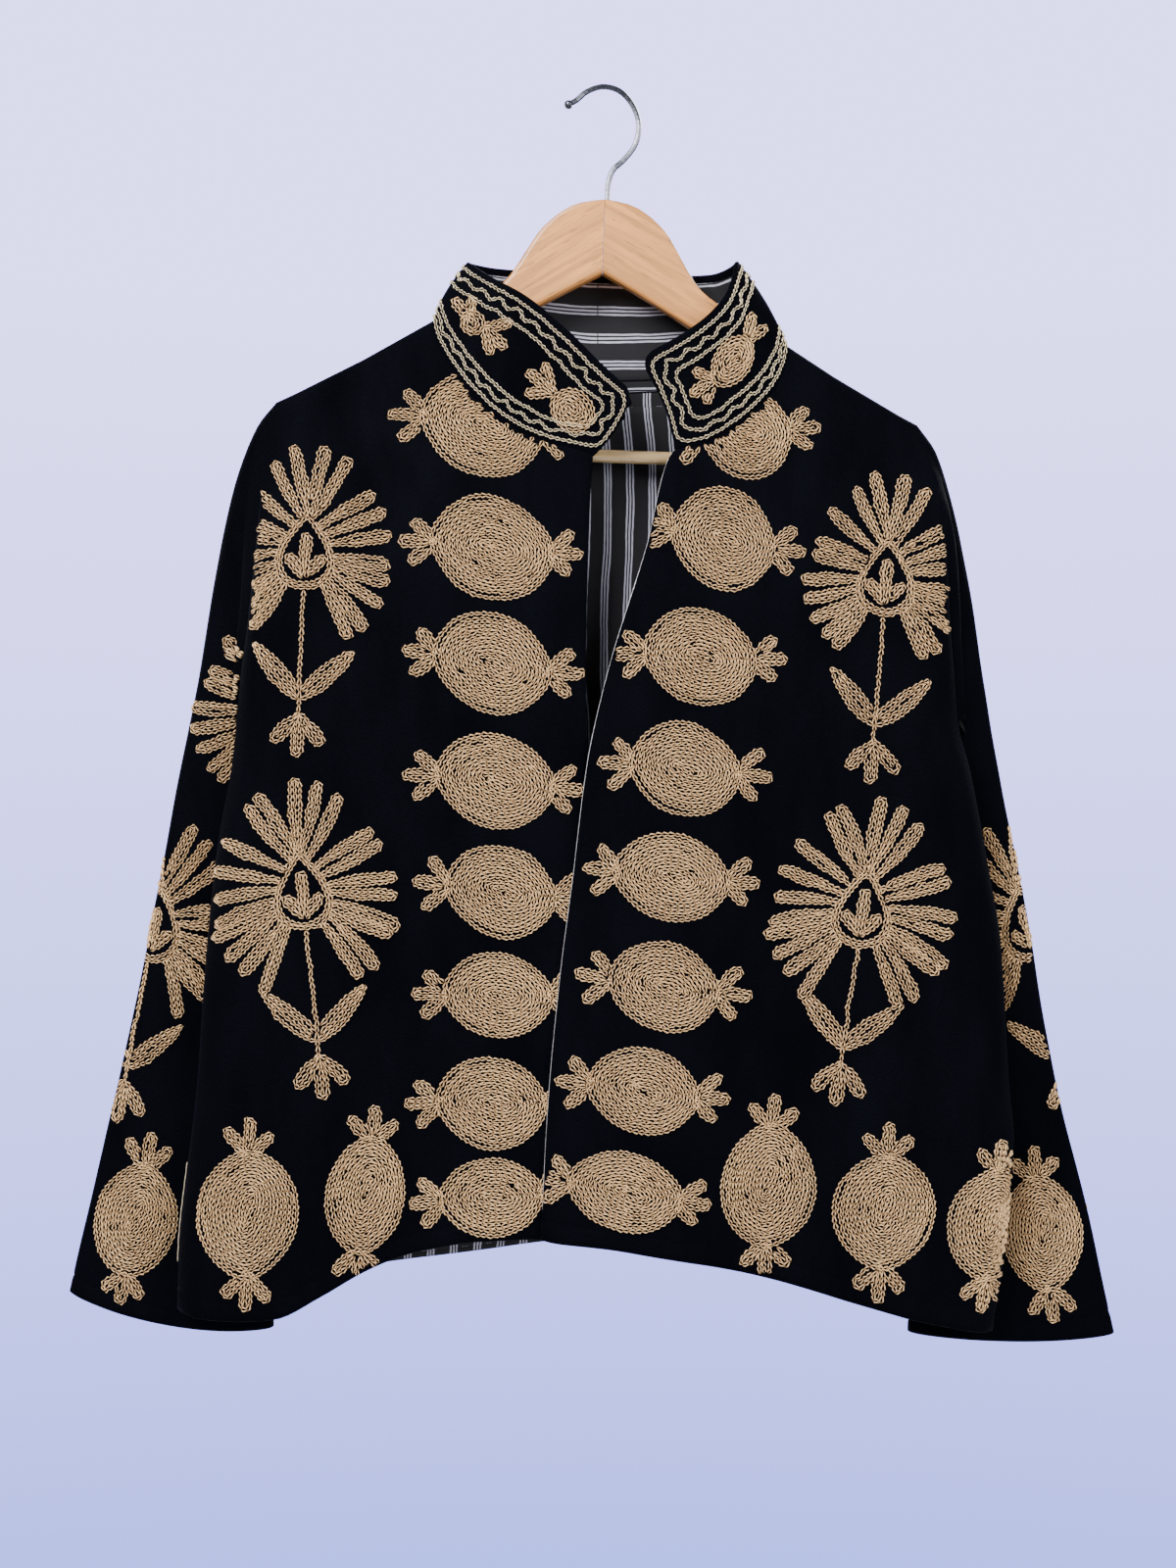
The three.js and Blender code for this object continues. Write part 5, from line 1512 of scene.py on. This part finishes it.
# The glue line between the hanger's halves: its ends before the tilt, half its width and half its depth
GLUE_ENDS, GLUE_HALF, GLUE_DEPTH = (-76.5, -125), 0.1, 4.8
GRAIN_SLOPE = math.radians(31)
BAR_SHARES = (0.85, 1.4, 2.6)   # the bar's colour as shares of the arms' red, green and blue


class JACKET_OT_hanger(bpy.types.Operator):
    """Give the hanger its beech, its lacquered bar and its steel hook"""
    bl_idname = "jacket.hanger"
    bl_label = "Hanger"

    def execute(self, context):
        tint = context.scene.jacket.wood_colour
        bar_tint = [share * value for share, value in zip(BAR_SHARES, tint)]
        finishes = {
            "hanger_arm_right": wood_material("beech_right", tint, GRAIN_SLOPE, 0.42, 0.15),
            "hanger_arm_left": wood_material("beech_left", tint, -GRAIN_SLOPE, 0.42, 0.15),
            "hanger_bar": wood_material("bar_wood", bar_tint, 0, 0.22, 1.0),
            "hanger_hook": steel_material(),
        }
        for name, material in finishes.items():
            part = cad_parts[name]
            for slot in part.material_slots:
                slot.material = material
        top, bottom = (tilt(0, z) for z in GLUE_ENDS)
        corners = [(x + side, y, z) for side in (-GLUE_HALF, GLUE_HALF)
                   for (x, z), y in ((top, -GLUE_DEPTH), (top, GLUE_DEPTH), (bottom, GLUE_DEPTH),
                                     (bottom, -GLUE_DEPTH))]
        glue = bpy.data.meshes.new("glue_line")
        glue.from_pydata([Vector(corner) * MM for corner in corners], [],
                         [(0, 1, 2, 3), (7, 6, 5, 4), (0, 4, 5, 1), (1, 5, 6, 2), (2, 6, 7, 3), (3, 7, 4, 0)])
        place_piece("glue_line", glue, [mottled_material("glue", (0.14, 0.07, 0.03), 0.5, 500, 0.6)])
        return {"FINISHED"}


# Softboxes: where each stands and how wide it is, in metres, and its power
LIGHTS = table(
    "name place size watts",
    ("key", (-1.0, -1.5, 0.9), 1.1, 125), ("fill", (1.4, -1.5, 0.1), 1.5, 58),
    ("back_key", (1.0, 1.6, 0.8), 1.2, 75), ("back_fill", (-1.3, 1.5, 0.1), 1.4, 35))
LIT_POINT = Vector((0, 0, -0.45))
FLOOR_REACH, FLOOR_LEVEL = 1.15, -1.75
CAMERA_PLACE = (-0.0107, -1.269, -0.473)
CAMERA_LENS, CAMERA_SENSOR = 42.75, 36
# The backdrop as the camera sees it: the wall colour above and a painted shade, darker and bluer, below
WALL_PAINTED_SHADE, WALL_HIGH = (0.15, 0.19, 0.6, 1), (0.5, 0.48, 1.0, 1)
ROOM_LIGHT = (0.52, 0.53, 0.58, 1)
WALL_POWER = 4


class JACKET_OT_stage(bpy.types.Operator):
    """Set the floor, the soft lights, the backdrop colour with its painted shade low down, and the camera"""
    bl_idname = "jacket.stage"
    bl_label = "Stage"

    def execute(self, context):
        scene = context.scene
        floor_mesh = bpy.data.meshes.new("floor")
        corners = [(x * FLOOR_REACH, y * FLOOR_REACH, FLOOR_LEVEL)
                   for x, y in ((-1, -1), (1, -1), (1, 1), (-1, 1))]
        floor_mesh.from_pydata(corners, [], [(0, 1, 2, 3)])
        floor_mesh.materials.append(mottled_material("pale_floor", (0.7, 0.7, 0.76), 0.97, 3, 0.9))
        floor = bpy.data.objects.new("floor", floor_mesh)
        scene.collection.objects.link(floor)

        world = bpy.data.worlds.new("studio")
        world.use_nodes = True
        tree = world.node_tree
        direction = node(tree, "ShaderNodeTexCoord").outputs["Generated"]
        upwards = node(tree, "ShaderNodeSeparateXYZ", {"Vector": direction}).outputs["Z"]
        # Painted shade on the backdrop: darker and bluer towards the bottom
        wall = blend(tree, ramp(tree, upwards, -0.4, 0.25), WALL_PAINTED_SHADE, WALL_HIGH)
        seen = node(tree, "ShaderNodeLightPath").outputs["Is Camera Ray"]
        backdrop = blend(tree, seen, ROOM_LIGHT, wall)
        power = ramp(tree, seen, 0, 1, 1, WALL_POWER)
        background = tree.nodes["Background"]
        tree.links.new(backdrop, background.inputs["Color"])
        tree.links.new(power, background.inputs["Strength"])
        scene.world = world
        for row in LIGHTS:
            lamp = bpy.data.lights.new(row["name"], "AREA")
            lamp.size = row["size"]
            lamp.energy = row["watts"]
            light = bpy.data.objects.new(row["name"], lamp)
            light.location = row["place"]
            light.rotation_euler = (LIT_POINT - light.location).to_track_quat("-Z", "Y").to_euler()
            scene.collection.objects.link(light)

        lens = bpy.data.cameras.new("camera")
        lens.lens = CAMERA_LENS
        lens.sensor_width = CAMERA_SENSOR
        camera = bpy.data.objects.new("camera", lens)
        camera.location = CAMERA_PLACE
        camera.rotation_euler = (math.pi / 2, 0, 0)
        scene.collection.objects.link(camera)
        scene.camera = camera
        return {"FINISHED"}


STEPS = (JACKET_OT_materials, JACKET_OT_body, JACKET_OT_sleeves, JACKET_OT_collar, JACKET_OT_linings,
         JACKET_OT_embroidery, JACKET_OT_collar_embroidery, JACKET_OT_trims, JACKET_OT_sheets,
         JACKET_OT_hanger, JACKET_OT_stage)


class JACKET_PT_panel(bpy.types.Panel):
    """Sizes, colours and steps of the jacket"""
    bl_idname = "JACKET_PT_panel"
    bl_label = "Jacket"
    bl_space_type = "VIEW_3D"
    bl_region_type = "UI"
    bl_category = "Jacket"

    def draw(self, context):
        for name in JacketSettings.__annotations__:
            self.layout.prop(context.scene.jacket, name)
        for step in STEPS:
            self.layout.operator(step.bl_idname)


CLASSES = (JacketSettings, *STEPS, JACKET_PT_panel)


def register():
    for item in CLASSES:
        bpy.utils.register_class(item)
    bpy.types.Scene.jacket = PointerProperty(type=JacketSettings)


def unregister():
    del bpy.types.Scene.jacket
    for item in reversed(CLASSES):
        bpy.utils.unregister_class(item)


def main():
    register()
    bpy.ops.jacket.materials()
    bpy.ops.jacket.body()
    bpy.ops.jacket.sleeves()
    bpy.ops.jacket.collar()
    bpy.ops.jacket.linings()
    bpy.ops.jacket.embroidery()
    bpy.ops.jacket.collar_embroidery()
    bpy.ops.jacket.trims()
    bpy.ops.jacket.sheets()
    bpy.ops.jacket.hanger()
    bpy.ops.jacket.stage()


if __name__ == "__main__":
    main()
